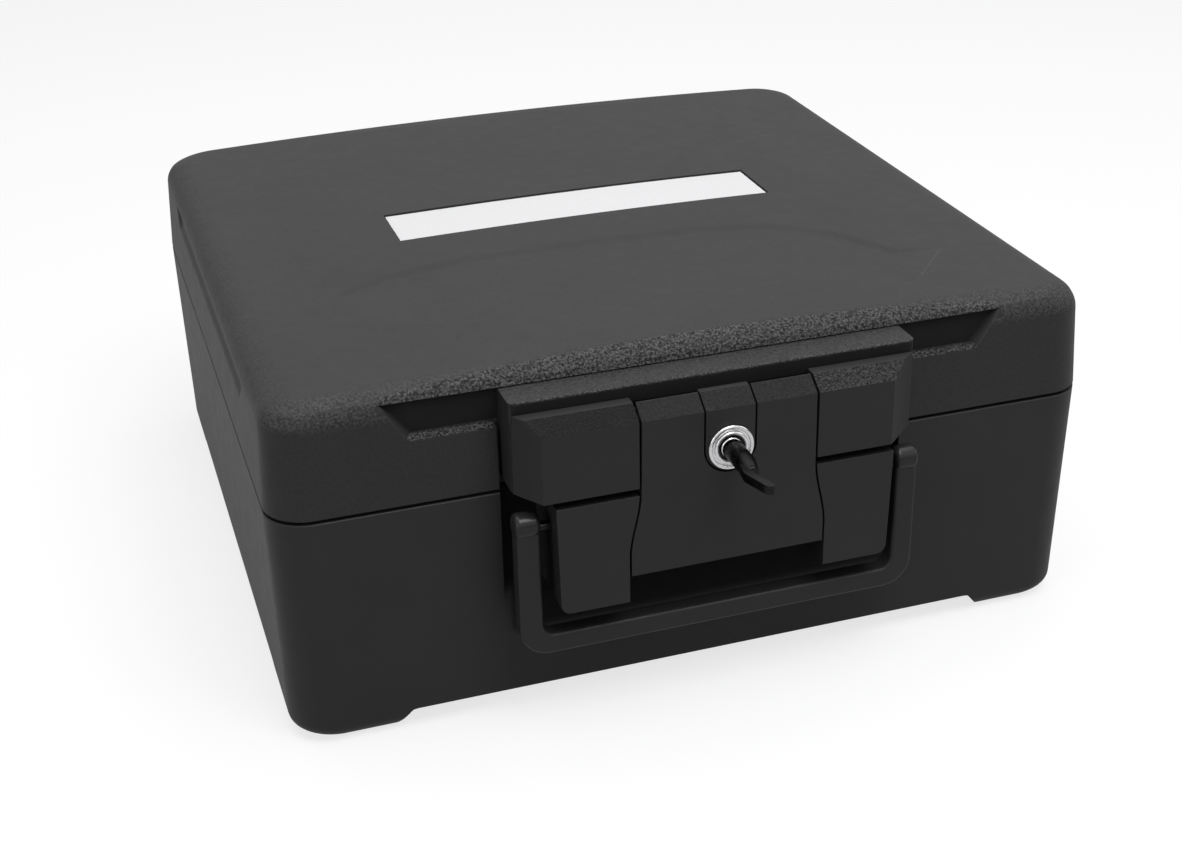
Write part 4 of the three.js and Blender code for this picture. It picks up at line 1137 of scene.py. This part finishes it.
def lid_grain(x, y, z):
    """Coarse on the brow, the recess ledge and the front corners, finer on the sides, none on the top."""
    below_top = LID_EDGE + crown_at(x) - z
    off_top = smooth_step((below_top - TOP_GRAIN_DROP) / TOP_GRAIN_FADE)
    rounded = smooth_step((z - LID_WALL_TOP - ROUND_GRAIN_RISE) / ROUND_GRAIN_FADE)
    front = smooth_step((FRONT + CORNER_GRAIN_DEPTH - y) / CORNER_GRAIN_FADE)
    round_edge = ROUND_GRAIN + (CORNER_GRAIN - ROUND_GRAIN) * front
    sides = off_top * (SIDE_GRAIN + (round_edge - SIDE_GRAIN) * rounded)
    depth = y - FRONT - lid_lean(np.minimum(z, LID_WALL_TOP)) - rounded_in(z)
    level = (z > FRONT_RECESS_LOW - EDGE_MARGIN) & (z < FRONT_RECESS_HIGH)
    recessed = level & (np.abs(x) < FRONT_RECESS_HALF_HIGH) & (depth > RECESS_GRAIN_DEPTH) & (y < 0)
    ledge = recessed & (z < FRONT_RECESS_LOW + FRONT_BEVEL + LEDGE_GRAIN_MARGIN)
    return np.maximum(np.where(recessed, 0, np.maximum(sides, brow_band(x, y, z))), ledge)


def rounded_in(z):
    """How far the lid's front edge has rounded back at a height."""
    rise = np.clip((z - LID_WALL_TOP) / (LID_TOP_ROUND + CROWN_RISE), 0, 1)
    return LID_FRONT_ROUND * (1 - np.sqrt(1 - rise * rise))


def recess_shade(x, y, z):
    """Painted shade on the floor of the recess in the lid's front, which the brow shades, and on the
    label's bed.
    """
    deep = smooth_step((y - POCKET_FLOOR + RECESS_SHADE_START) / RECESS_SHADE_FADE)
    in_reach = (np.abs(x) < FRONT_RECESS_HALF_HIGH) & (y < POCKET_FLOOR + FLOOR_MARGIN)
    level = (z > FRONT_RECESS_LOW + FRONT_BEVEL) & (z < FRONT_RECESS_HIGH + EDGE_MARGIN)
    recess = RECESS_SHADE * deep * (in_reach & level)
    bed = (np.abs(x) < LABEL_EDGE_X) & (np.abs(y) < LABEL_EDGE_Y) & (z > LID_WALL_TOP)
    return np.maximum(recess, bed)


def scoop_shade(x, y, z):
    """Painted shade on the scoop behind the latch and on the wall just below it, which lie in deep shade.
    """
    between = smooth_step((POCKET_HALF + SCOOP_EDGE_OUT - np.abs(x)) / SCOOP_EDGE_FADE)
    deep = smooth_step((y - FRONT - SCOOP_SHADE_START) / SCOOP_SHADE_FADE)
    below = smooth_step((SHADE_HALF - np.abs(x)) / SHADE_FADE) * smooth_step((z - SHADE_LOW) / SHADE_FADE)
    scooped = between * deep * (z > POCKET_FOOT)
    shaded = np.maximum(scooped, below * (z < POCKET_FOOT + SHADE_OVERLAP))
    return shaded * (y < POCKET_FLOOR + FLOOR_MARGIN)


def read_vectors(elements, wanted):
    values = np.zeros(len(elements) * 3, np.float32)
    elements.foreach_get(wanted, values)
    return values.reshape(-1, 3)


def read_places(elements, wanted):
    """Places in millimetres about the middle of the case."""
    places = read_vectors(elements, wanted) / MM
    places[:, 1] -= ROW_SHIFT / MM
    return places


def mark_points(obj, name, mask):
    """Stores a mask of the points' x, y and z."""
    values = mask(*read_places(obj.data.vertices, "co").T)
    layer = obj.data.attributes.new(name, "FLOAT", "POINT")
    layer.data.foreach_set("value", values.astype(np.float32))


def mark_faces(obj, name, mask):
    """Stores a mask of the faces' middles and normals."""
    faces = obj.data.polygons
    values = mask(read_places(faces, "center"), read_vectors(faces, "normal"))
    layer = obj.data.attributes.new(name, "FLOAT", "FACE")
    layer.data.foreach_set("value", values.astype(np.float32))


def on_top_chamfer(middles, normals):
    facing_up = (normals[:, 2] > CHAMFER_UP_MIN) & (normals[:, 2] < CHAMFER_UP_MAX)
    chamfer_back = LATCH_FACE + TOP_CHAMFER_RUN + CHAMFER_MARGIN
    on_latch = (middles[:, 1] < chamfer_back) & (middles[:, 2] > CHAMFER_LOW)
    return facing_up & (normals[:, 1] < CHAMFER_FORWARD_MAX) & on_latch


def chamfer_grain(middles, normals):
    """The chamfer along the latch's top: coarsest on the right block and finest on the flap."""
    return on_top_chamfer(middles, normals) * np.interp(middles[:, 0], CHAMFER_STOPS, CHAMFER_GRAINS)


def chamfer_shade(middles, normals):
    """Painted shade on the chamfer, which is darker and rougher than the faces, most of all on the left."""
    return on_top_chamfer(middles, normals) * np.interp(middles[:, 0], CHAMFER_STOPS, CHAMFER_SHADES)


def on_lip_nose(middles, normals):
    facing_up = (normals[:, 2] > LIP_NOSE_UP_MIN) & (normals[:, 2] < LIP_NOSE_UP_MAX)
    return facing_up & (normals[:, 1] < LIP_NOSE_FORWARD_MAX) & (middles[:, 2] > BLOCK_TOP + LIP_START)


def housing_grain(middles, normals):
    """The chamfers, and the lip, whose nose is the coarsest: its speckle there is partly a painted
    highlight.
    """
    on_lip = (middles[:, 2] > BLOCK_TOP + LIP_START) & (normals[:, 2] > LIP_UP_MIN)
    lip = np.maximum(on_lip * LIP_GRAIN, on_lip_nose(middles, normals))
    return np.maximum(chamfer_grain(middles, normals), lip)


def housing_polish(middles, normals):
    """The lip's nose is worn smooth."""
    return on_lip_nose(middles, normals) * LIP_POLISH


def housing_shade(middles, normals):
    """Painted shade on the chamfers and in the groove between the lip and the blocks."""
    near_nose = np.abs(middles[:, 1] - HOUSING_NOSE) < GROOVE_MARGIN
    in_groove = near_nose & (normals[:, 1] < GROOVE_FORWARD_MAX)
    return np.maximum(chamfer_shade(middles, normals), in_groove * GROOVE_SHADE)


def knuckle_polish(middles, normals):
    """The knuckles are worn smooth."""
    above = middles[:, 2] - KNUCKLE_HEIGHT + KNUCKLE_RADIUS + KNUCKLE_POLISH_START
    return smooth_step(above / KNUCKLE_POLISH_FADE)


def post_shade(middles, normals):
    """Painted shade on the posts' tops, which lie in the gap under the latch housing, and on what is behind
    their faces.
    """
    behind = middles[:, 1] > LATCH_FACE + POST_SHADE_DEPTH
    between = np.abs(middles[:, 0]) < POST_OUTER_BOTTOM - POST_SHADE_MARGIN
    return np.maximum(normals[:, 2] > POST_TOP_UP_MIN, behind & between)


# The two shells
def lid_piece():
    lid = raw_object("lid", lid_skin())
    mark_points(lid, "grain", lid_grain)
    mark_points(lid, "shade", recess_shade)
    shade(lid.data, SHELL_SMOOTH_ANGLE)
    return dress(lid, "lid_skin", "lid", CASE, "lid_shell")


def base_piece():
    base = raw_object("base", base_skin())
    mark_points(base, "shade", scoop_shade)
    shade(base.data, SHELL_SMOOTH_ANGLE)
    return dress(base, "base_skin", "base", CASE, "base_shell")


def label_piece():
    half_width = LABEL_WIDTH / 2 - LABEL_MARGIN
    half_depth = LABEL_DEPTH / 2 - LABEL_MARGIN
    columns = np.linspace(-half_width, half_width, LABEL_COLUMNS)
    low = [(x, LID_EDGE + crown_at(x) + SEAT_GAP - LABEL_BED) for x in columns]
    high = [(x, z + LABEL_THICKNESS) for x, z in reversed(low)]
    label = carved("label", prism("y", low + high, -half_depth, half_depth))
    return dress(eased(label, LABEL_EASE, 2), "label_sheet", "lid", PAPER, "label_plate")


# Latch housing and the tongue that carries the lock
def chamfer_profile(low, flat_end, rear, step):
    return [(LATCH_FACE, low), (LATCH_FACE, BLOCK_TOP - TOP_CHAMFER_DROP),
            (LATCH_FACE + TOP_CHAMFER_RUN, BLOCK_TOP), (flat_end, BLOCK_TOP), (flat_end, step),
            (rear, step), (rear, low)]


def on_side(side, points):
    return mirrored(points) if side < 0 else points


def pivot_bore():
    reach = PIVOT_REACH + SEAT_GAP
    return rod("x", PIVOT_RADIUS + SEAT_GAP, -reach, reach, (PIVOT_Y, PIVOT_HEIGHT))


def housing_block(side):
    root = HOUSING_NOSE + HOUSING_WALL
    outer = BLOCK_ENDS[side]
    plan = [(BLOCK_INNER, LATCH_FACE), (BLOCK_FACE_ENDS[side], LATCH_FACE),
            (outer, LATCH_FACE + BLOCK_CHAMFER_DEPTH), (outer, root), (BLOCK_INNER, root)]
    profile = chamfer_profile(HOUSING_BOTTOM, HOUSING_NOSE - BLOCK_GROOVE, root, GROOVE_FLOOR)
    return carved("block", prism("z", on_side(side, plan), HOUSING_BOTTOM, BLOCK_TOP),
                  ("cross", prism("x", profile, -outer, outer)))


def housing_hollow(side):
    near = LATCH_FACE + HOUSING_WALL
    outer = BLOCK_ENDS[side] - HOUSING_WALL
    plan = [(BLOCK_INNER + HOUSING_WALL, near), (BLOCK_FACE_ENDS[side] - HOUSING_WALL / 2, near),
            (outer, LATCH_FACE + BLOCK_CHAMFER_DEPTH + HOUSING_WALL / 2),
            (outer, PLATE_FRONT), (BLOCK_INNER + HOUSING_WALL, PLATE_FRONT)]
    return prism("z", on_side(side, plan), HOUSING_BOTTOM - CUT, HOLLOW_TOP)


def housing_piece():
    low = HOUSING_BOTTOM - CUT
    lip = arc(HOUSING_NOSE + LIP_ROUND, HOUSING_TOP - LIP_ROUND, LIP_ROUND, math.pi / 2, math.pi)
    profile = [(HOUSING_BACK, low), (HOUSING_BACK, HOUSING_TOP), *lip, (HOUSING_NOSE, low)]
    corner = arc(HOUSING_HALF - CORNER_ROUND, HOUSING_NOSE + CORNER_ROUND, CORNER_ROUND, 0, -math.pi / 2)
    plan = [(HOUSING_HALF, HOUSING_BACK), *corner]
    mouth = block(-BLOCK_INNER, BLOCK_INNER, HOUSING_NOSE - CUT, PLATE_FRONT, low, HOUSING_TOP - LIP_HEIGHT)
    housing = carved("housing", prism("x", profile, -HOUSING_HALF, HOUSING_HALF),
                     ("cross", prism("z", plan + mirrored(plan), HOUSING_BOTTOM, HOUSING_TOP)),
                     ("cut", mouth), ("join", housing_block(-1)), ("join", housing_block(1)),
                     ("cut", housing_hollow(-1)), ("cut", housing_hollow(1)), ("cut", pivot_bore()))
    eased(housing, HOUSING_EASE)
    mark_faces(housing, "grain", housing_grain)
    mark_faces(housing, "shade", housing_shade)
    mark_faces(housing, "polish", housing_polish)
    return dress(housing, "latch_housing_body", "lid", LATCH, "latch_housing")


def insert_outline(growth, top):
    """The tongue's outline: straight sides, round below the lock's centre."""
    half = INSERT_HALF + growth
    return [(half, top), (-half, top), *arc(0, LOCK_HEIGHT, half, math.pi, 2 * math.pi, INSERT_ARC_STEPS)]


def insert_piece():
    profile = chamfer_profile(0, HOUSING_NOSE - GROOVE_WIDTH, INSERT_BACK, GROOVE_FLOOR)
    column = block(-INSERT_HALF, INSERT_HALF, INSERT_BACK - HOUSING_WALL, PLATE_FRONT - SEAT_GAP,
                   INSERT_COLUMN_BOTTOM, GROOVE_FLOOR)
    bore = rod("y", LOCK_BODY_RADIUS + SEAT_GAP, LATCH_FACE - CUT, INSERT_BACK + CUT, (0, LOCK_HEIGHT))
    insert = carved("insert", prism("y", insert_outline(0, BLOCK_TOP), LATCH_FACE, INSERT_BACK),
                    ("cross", prism("x", profile, -INSERT_HALF, INSERT_HALF)), ("join", column),
                    ("cut", bore), ("cut", pivot_bore()))
    eased(insert, INSERT_EASE)
    mark_faces(insert, "grain", chamfer_grain)
    mark_faces(insert, "shade", chamfer_shade)
    return dress(insert, "lock_tongue", "lid", LATCH, "lock_carrier")


# Flap
def flap_half(z):
    """Half the flap's width at a height. It widens in an S curve towards its lower edge."""
    if z >= FLARE_TOP:
        rise = BLOCK_TOP - FLARE_TOP
        return FLAP_HALF_MIDDLE + (FLAP_HALF_TOP - FLAP_HALF_MIDDLE) * (z - FLARE_TOP) / rise
    share = min(1, (FLARE_TOP - z) / (FLARE_TOP - FLARE_BOTTOM))
    return FLAP_HALF_MIDDLE + (FLAP_HALF_BOTTOM - FLAP_HALF_MIDDLE) * share * share * (3 - 2 * share)


def flap_edge(low, high, gap):
    turns = [z for z in np.linspace(FLARE_BOTTOM, FLARE_TOP, FLAP_EDGE_ROWS) if low < z < high]
    return [(flap_half(z) + gap, z) for z in (low, *turns, high)]


def flap_piece():
    rear = LATCH_FACE + FLAP_DEPTH
    flat_end = LATCH_FACE + TOP_CHAMFER_RUN + FLAP_TOP_FLAT
    profile = chamfer_profile(FLAP_BOTTOM - CUT, flat_end, rear, GROOVE_FLOOR)
    edge = flap_edge(FLAP_BOTTOM, BLOCK_TOP, 0)
    inner = flap_edge(FLAP_BOTTOM + FLAP_WALL, HOLLOW_TOP, -FLAP_WALL)
    hub_reach = FLAP_HALF_TOP - FLAP_WALL
    notch_end = PIVOT_Y + HUB_RADIUS + CUT
    notch = insert_outline(SEAM_GAP, BLOCK_TOP + CUT)
    relief = insert_outline(SEAM_GAP + NOTCH_RELIEF, LOCK_HEIGHT)
    flap = carved("flap", prism("y", edge + mirrored(edge), LATCH_FACE, rear),
                  ("cross", prism("x", profile, -FLAP_HALF_BOTTOM, FLAP_HALF_BOTTOM)),
                  ("cut", prism("y", inner + mirrored(inner), LATCH_FACE + FLAP_PLATE, rear + CUT)),
                  ("join", rod("x", HUB_RADIUS, -hub_reach, hub_reach, (PIVOT_Y, PIVOT_HEIGHT))),
                  ("cut", prism("y", notch, LATCH_FACE - CUT, notch_end)),
                  ("cut", prism("y", relief, LATCH_FACE + NOTCH_LIP, notch_end)), ("cut", pivot_bore()))
    eased(flap, FLAP_EASE)
    mark_faces(flap, "grain", chamfer_grain)
    mark_faces(flap, "shade", chamfer_shade)
    return dress(flap, "flap_body", "latch", LATCH, "latch_flap")


# Keeper posts and the plate between them
def keeper_piece():
    inner = flap_edge(POST_BOTTOM, POST_TOP, SEAM_GAP)[::-1]
    corner = arc(POST_OUTER_BOTTOM - POST_CORNER, POST_BOTTOM + POST_CORNER, POST_CORNER, -math.pi / 2, 0)
    outline = inner + corner + [(POST_OUTER_TOP, POST_TOP)]
    half = FLAP_HALF_BOTTOM + SEAM_GAP + HOUSING_WALL
    low = POCKET_FOOT + SEAM_GAP
    high = POST_TOP + CUT
    wall = [(float(scoop_at(z)) - SEAT_GAP, z) for z in np.linspace(low, high, KEEPER_WALL_ROWS)]
    wall += [(0, high), (0, low)]
    keeper = carved("keeper", prism("y", outline, LATCH_FACE, HOUSING_BACK),
                    ("join", prism("y", mirrored(outline), LATCH_FACE, HOUSING_BACK)),
                    ("join", block(-half, half, KEEPER_FRONT, HOUSING_BACK, KEEPER_PLATE_BOTTOM, POST_TOP)),
                    ("cut", prism("x", wall, -CASE_WIDTH, CASE_WIDTH)))
    eased(keeper, KEEPER_EASE)
    mark_faces(keeper, "shade", post_shade)
    return dress(keeper, "keeper_posts", "base", LATCH, "keeper_housing")


# Bail
def bail_outline():
    inner = BAIL_HALF - BAIL_ARM
    bar_top = BAIL_BOTTOM + BAIL_BAR
    right = arc(BAIL_HALF - BAIL_OUTER_CORNER, BAIL_BOTTOM + BAIL_OUTER_CORNER, BAIL_OUTER_CORNER,
                -math.pi / 2, 0, BAIL_OUTER_STEPS)
    right += [(BAIL_HALF, KNUCKLE_HEIGHT), (inner, KNUCKLE_HEIGHT)]
    right += arc(inner - BAIL_INNER_CORNER, bar_top + BAIL_INNER_CORNER, BAIL_INNER_CORNER, 0,
                 -math.pi / 2, BAIL_INNER_STEPS)
    return right + mirrored(right)


def knuckle(side):
    """The round end of one arm, with soft edges."""
    near = BAIL_HALF - BAIL_ARM - KNUCKLE_PROUD / 2
    far = BAIL_HALF + KNUCKLE_PROUD
    radius = KNUCKLE_RADIUS - KNUCKLE_EASE
    ends = arc(radius, near + KNUCKLE_EASE, KNUCKLE_EASE, -math.pi / 2, 0, KNUCKLE_STEPS)
    ends += arc(radius, far - KNUCKLE_EASE, KNUCKLE_EASE, 0, math.pi / 2, KNUCKLE_STEPS)
    return turned("x", [(reach, side * x) for reach, x in ends], (BAIL_PIVOT_Y, KNUCKLE_HEIGHT), FINE_SIDES)


def bail_bore(side):
    ends = sorted((side * (BAIL_PIN_ROOT - SEAT_GAP), side * (BAIL_PIN_END + SEAT_GAP)))
    return rod("x", BAIL_PIN_RADIUS + SEAT_GAP, *ends, (BAIL_PIVOT_Y, BAIL_PIVOT_HEIGHT))


def bail_piece():
    bail = raw_object("bail", prism("y", bail_outline(), BAIL_FRONT, BAIL_FRONT + BAIL_DEPTH))
    eased(bail, BAIL_BEVEL, BAIL_BEVEL_STEPS)
    bail.modifiers.clear()
    for side in (-1, 1):
        carved_on(bail, ("join", knuckle(side)), ("cut", bail_bore(side)))
    smoothed(bail)
    mark_faces(bail, "polish", knuckle_polish)
    return dress(bail, "bail_loop", "handle", LATCH, "carry_bail")


# Lock and key
def bezel_piece():
    """Two rounded rings with a groove between them."""
    seat = LATCH_FACE - SEAT_GAP
    base = seat - BEZEL_BASE
    inner_round = (BEZEL_RADIUS - 2 * BEZEL_RIM - BEZEL_GROOVE - BEZEL_HOLE) / 2
    outer = arc(BEZEL_RADIUS - BEZEL_RIM, base, BEZEL_RIM, 0, -math.pi)
    inner = arc(BEZEL_HOLE + inner_round, base - BEZEL_RISE, inner_round, 0, -math.pi)
    groove = seat - BEZEL_BASE / 2
    profile = [(BEZEL_RADIUS, seat), *outer, (outer[-1][0], groove), (inner[0][0], groove), *inner,
               (BEZEL_HOLE, seat)]
    bezel = raw_object("bezel", ring_turned("y", profile, (0, LOCK_HEIGHT)))
    shade(bezel.data, BEZEL_SMOOTH_ANGLE)
    return dress(bezel, "bezel_ring", "lid", CHROME, "lock_bezel")


def plug_piece():
    half_slot = KEY_THICKNESS / 2 + SEAT_GAP
    half_height = KEY_BLADE_HEIGHT / 2 + SEAT_GAP
    slot = block(-half_slot, half_slot, PLUG_FRONT - CUT, LATCH_FACE + KEY_INSIDE + SEAT_GAP,
                 LOCK_HEIGHT - half_height, LOCK_HEIGHT + half_height)
    body = rod("y", PLUG_RADIUS, PLUG_FRONT, PLUG_BACK, (0, LOCK_HEIGHT), PLUG_CHAMFER, FINE_SIDES)
    plug = carved("plug", body, ("cut", slot))
    return dress(eased(plug, PLUG_EASE, 2), "plug_body", "plug", CHROME, "lock_plug")


def key_blade():
    """A blade with teeth along its upper edge, drawn from the side."""
    inner = LATCH_FACE + KEY_INSIDE
    half = KEY_BLADE_HEIGHT / 2
    teeth = []
    for i in range(KEY_NOTCHES):
        middle = inner - KEY_NOTCH_PITCH * (i + 1)
        depth = KEY_NOTCH_DEPTH / 2 if i % 2 else KEY_NOTCH_DEPTH
        teeth += [(middle + KEY_NOTCH_PITCH / 2, LOCK_HEIGHT + half), (middle, LOCK_HEIGHT + half - depth)]
    outline = [(inner - half / 2, LOCK_HEIGHT - half), (inner, LOCK_HEIGHT - half / 2),
               (inner, LOCK_HEIGHT + half / 2), *teeth,
               (inner - KEY_NOTCH_PITCH * (KEY_NOTCHES + 0.5), LOCK_HEIGHT + half),
               (KEY_BARREL_END + KEY_BLADE_OVERLAP, LOCK_HEIGHT + half),
               (KEY_BARREL_END + KEY_BLADE_OVERLAP, LOCK_HEIGHT - half)]
    return prism("x", outline, -KEY_THICKNESS / 2, KEY_THICKNESS / 2)


def key_piece():
    """The blade, a round barrel, and a narrow head that leans to the right."""
    barrel = turned("y", [(KEY_NECK_RADIUS, KEY_BARREL_END), (KEY_BARREL_RADIUS, KEY_BARREL_TAPER),
                          (KEY_BARREL_RADIUS, PLUG_FRONT - SEAT_GAP)], (0, LOCK_HEIGHT), FINE_SIDES)
    outline = [(x, LATCH_FACE - out) for x, out in KEY_HEAD_POINTS]
    head = prism("z", outline, LOCK_HEIGHT - KEY_HEAD_HEIGHT / 2, LOCK_HEIGHT + KEY_HEAD_HEIGHT / 2)
    key = carved("key", key_blade(), ("join", barrel), ("join", head))
    return dress(eased(key, KEY_EASE), "key_body", "key", DARK_STEEL, "key")


# Hinges, rods and screws
def hinge_leaf(side, level):
    """A leaf on the base (level -1) with two knuckles, or on the lid (level 1) with one."""
    middle = side * HINGE_OFFSET
    near = PARTING + level * LEAF_START
    far = PARTING + level * LEAF_END
    lean = lid_lean if level > 0 else base_lean
    profile = [(BACK - lean(near) + SEAT_GAP, near), (BACK - lean(near) + SEAT_GAP + LEAF_THICKNESS, near),
               (BACK - lean(far) + SEAT_GAP + LEAF_THICKNESS, far), (BACK - lean(far) + SEAT_GAP, far)]
    end = MIDDLE_KNUCKLE / 2 + KNUCKLE_GAP
    spans = [(-MIDDLE_KNUCKLE / 2, MIDDLE_KNUCKLE / 2)]
    if level < 0:
        spans = [(-HINGE_WIDTH / 2, -end), (end, HINGE_WIDTH / 2)]
    steps = []
    inside = HINGE_Y - HINGE_KNUCKLE
    heights = sorted((PARTING, near + level * SEAM_GAP))
    for start, stop in spans:
        ends = (middle + start, middle + stop)
        steps.append(("join", rod("x", HINGE_KNUCKLE, *ends, (HINGE_Y, PARTING))))
        steps.append(("join", block(*ends, inside, inside + LEAF_THICKNESS - SEAT_GAP, *heights)))
    bore = rod("x", HINGE_PIN_RADIUS + SEAT_GAP, middle - HINGE_WIDTH, middle + HINGE_WIDTH,
               (HINGE_Y, PARTING))
    leaf = carved("leaf", prism("x", profile, middle - HINGE_WIDTH / 2, middle + HINGE_WIDTH / 2),
                  *steps, ("cut", bore))
    return eased(leaf, LEAF_EASE, 2)


def box_of(node):
    """A node's corners in millimetres about the middle of the case."""
    low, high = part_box(node)
    return ([low.x / MM, (low.y - ROW_SHIFT) / MM, low.z / MM],
            [high.x / MM, (high.y - ROW_SHIFT) / MM, high.z / MM])


def rod_piece(node, body, material=STEEL):
    low, high = box_of(node)
    centre = ((low[1] + high[1]) / 2, (low[2] + high[2]) / 2)
    pin = raw_object(node, rod("x", (high[2] - low[2]) / 2, low[0], high[0], centre, PIN_CHAMFER))
    shade(pin.data, SHELL_SMOOTH_ANGLE)
    return dress(pin, node + "_turned", body, material, node)


def screw_piece(node, body, outward):
    """A pan head with a cross recess, on a plain shank. Outward is the way it looks along y."""
    low, high = box_of(node)
    centre = ((low[0] + high[0]) / 2, (low[2] + high[2]) / 2)
    top, end = (high[1], low[1]) if outward > 0 else (low[1], high[1])
    under = top - outward * SCREW_HEAD_HEIGHT
    ease = SCREW_HEAD_EASE
    dome = [(SCREW_HEAD_RADIUS - ease + ease * math.sin(turn), top - outward * ease * (1 - math.cos(turn)))
            for turn in np.linspace(0, math.pi / 2, SCREW_HEAD_ROWS)]
    profile = dome + [(SCREW_HEAD_RADIUS, under), (SCREW_RADIUS, under), (SCREW_RADIUS, end)]
    depth = sorted((top + outward, top - outward * CROSS_DEPTH))
    arms = [block(centre[0] - a, centre[0] + a, *depth, centre[1] - b, centre[1] + b)
            for a, b in ((CROSS_REACH, CROSS_HALF_WIDTH), (CROSS_HALF_WIDTH, CROSS_REACH))]
    screw = carved("screw", turned("y", profile, centre, SMALL_SIDES), ("cut", arms[0]), ("cut", arms[1]))
    shade(screw.data, SHELL_SMOOTH_ANGLE)
    return dress(screw, node + "_cross", body, STEEL, node)


def small_metal():
    for side, word in ((-1, "left"), (1, "right")):
        for level, body in ((-1, "base"), (1, "lid")):
            node = f"hinge_leaf_{body}_{word}"
            dress(hinge_leaf(side, level), node + "_eased", body, DARK_STEEL, node)
            for end in ("a", "b"):
                screw_piece(f"hinge_screw_{body}_{word}_{end}", body, 1)
        rod_piece(f"hinge_pin_{word}", "base")
        rod_piece(f"handle_pin_{word}", "base", DARK_STEEL)
        screw_piece(f"keeper_screw_{word}", "base", -1)
        screw_piece(f"housing_screw_{word}", "lid", -1)
        screw_piece(f"hook_screw_{word}", "latch", 1)
    rod_piece("striker_rod", "base")
    rod_piece("latch_pin", "lid")
    screw_piece("catch_screw", "latch", 1)
    screw_piece("cam_screw", "plug", 1)


# CAD nodes that stay and get their materials
KEPT_NODES = {LINING: ("base_liner", "lid_liner"), FILLING: ("base_insulation", "lid_insulation"),
              RUBBER: ("rim_gasket",), DARK_STEEL: ("lock_body",),
              STEEL: ("latch_hook_left", "latch_hook_right", "lock_catch", "lock_nut", "lock_cam")}


def keep_nodes():
    for material, nodes in KEPT_NODES.items():
        for node in nodes:
            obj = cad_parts[node]
            obj.data.materials.clear()
            obj.data.materials.append(material)


lid_piece()
base_piece()
label_piece()
housing_piece()
insert_piece()
flap_piece()
keeper_piece()
bail_piece()
bezel_piece()
plug_piece()
key_piece()
small_metal()
keep_nodes()


# Camera
camera_data = bpy.data.cameras.new("camera")
camera_data.sensor_width = SENSOR_WIDTH
camera_data.lens = FOCAL_PIXELS * SENSOR_WIDTH / IMAGE_WIDTH
camera_data.shift_x = (IMAGE_WIDTH / 2 - CENTRE_PIXEL_X) / IMAGE_WIDTH
camera_data.shift_y = (CENTRE_PIXEL_Y - IMAGE_HEIGHT / 2) / IMAGE_WIDTH
camera = bpy.data.objects.new("camera", camera_data)
bpy.context.scene.collection.objects.link(camera)
backward = CAMERA_RIGHT.cross(CAMERA_UP)
camera.matrix_world = (Matrix.Translation(CAMERA_PLACE)
                       @ Matrix((CAMERA_RIGHT, CAMERA_UP, backward)).transposed().to_4x4())
bpy.context.scene.camera = camera


# Lamps
def soft_light(name, place, width, height, power):
    lamp = bpy.data.lights.new(name, "AREA")
    lamp.shape = "RECTANGLE"
    lamp.size = width
    lamp.size_y = height
    lamp.energy = power
    obj = bpy.data.objects.new(name, lamp)
    bpy.context.scene.collection.objects.link(obj)
    obj.location = place
    obj.rotation_euler = (LAMP_TARGET - Vector(place)).to_track_quat("-Z", "Y").to_euler()


for lamp_name, lamp_facts in LAMPS.items():
    soft_light(lamp_name, *lamp_facts)


# World and floor: white to the camera and to metal, dimmer for the light that they give
def seen_node(tree, mirrored_share):
    """1 for camera rays and rays through glass, and a share of it for rays off gloss."""
    rays = add_node(tree, "LightPath").outputs
    direct = math_node(tree, "MAXIMUM", rays["Is Camera Ray"], rays["Is Transmission Ray"])
    return math_node(tree, "MAXIMUM", direct, product_node(tree, rays["Is Glossy Ray"], mirrored_share))


def surround_with_light():
    """A white world whose horizon is darker in reflections, as in a room behind a white table."""
    world = bpy.data.worlds.new("studio")
    bpy.context.scene.world = world
    world.use_nodes = True
    tree = world.node_tree
    tree.nodes.clear()
    direction = add_node(tree, "SeparateXYZ", {"Vector": add_node(tree, "TexCoord").outputs["Generated"]})
    height = range_node(tree, direction.outputs["Z"], HORIZON_LOW, HORIZON_HIGH, HORIZON_TONE, 1)
    colour = tones_node(tree, seen_node(tree, height), 0, 1, grey(WORLD_TONE), WHITE)
    background = add_node(tree, "Background", {"Color": colour})
    add_node(tree, "OutputWorld", {"Surface": background.outputs["Background"]})


def lay_floor():
    mesh = bpy.data.meshes.new("floor")
    corners = [(x * FLOOR_REACH, y * FLOOR_REACH, 0) for x, y in ((-1, -1), (1, -1), (1, 1), (-1, 1))]
    mesh.from_pydata(corners, [], [(0, 1, 2, 3)])
    floor = bpy.data.objects.new("floor", mesh)
    bpy.context.scene.collection.objects.link(floor)
    material, tree = new_material("floor")
    shown = seen_node(tree, FLOOR_MIRRORED_SHARE)
    colour = tones_node(tree, shown, 0, 1, grey(FLOOR_TONE_TO_LIGHT), grey(FLOOR_TONE))
    glow = product_node(tree, shown, FLOOR_GLOW)
    finish_surface(tree, {"Base Color": colour, "Roughness": FLOOR_ROUGHNESS, "Specular IOR Level": 0,
                          "Emission Color": WHITE, "Emission Strength": glow})
    mesh.materials.append(material)


surround_with_light()
lay_floor()

bpy.context.scene.view_settings.view_transform = "Standard"
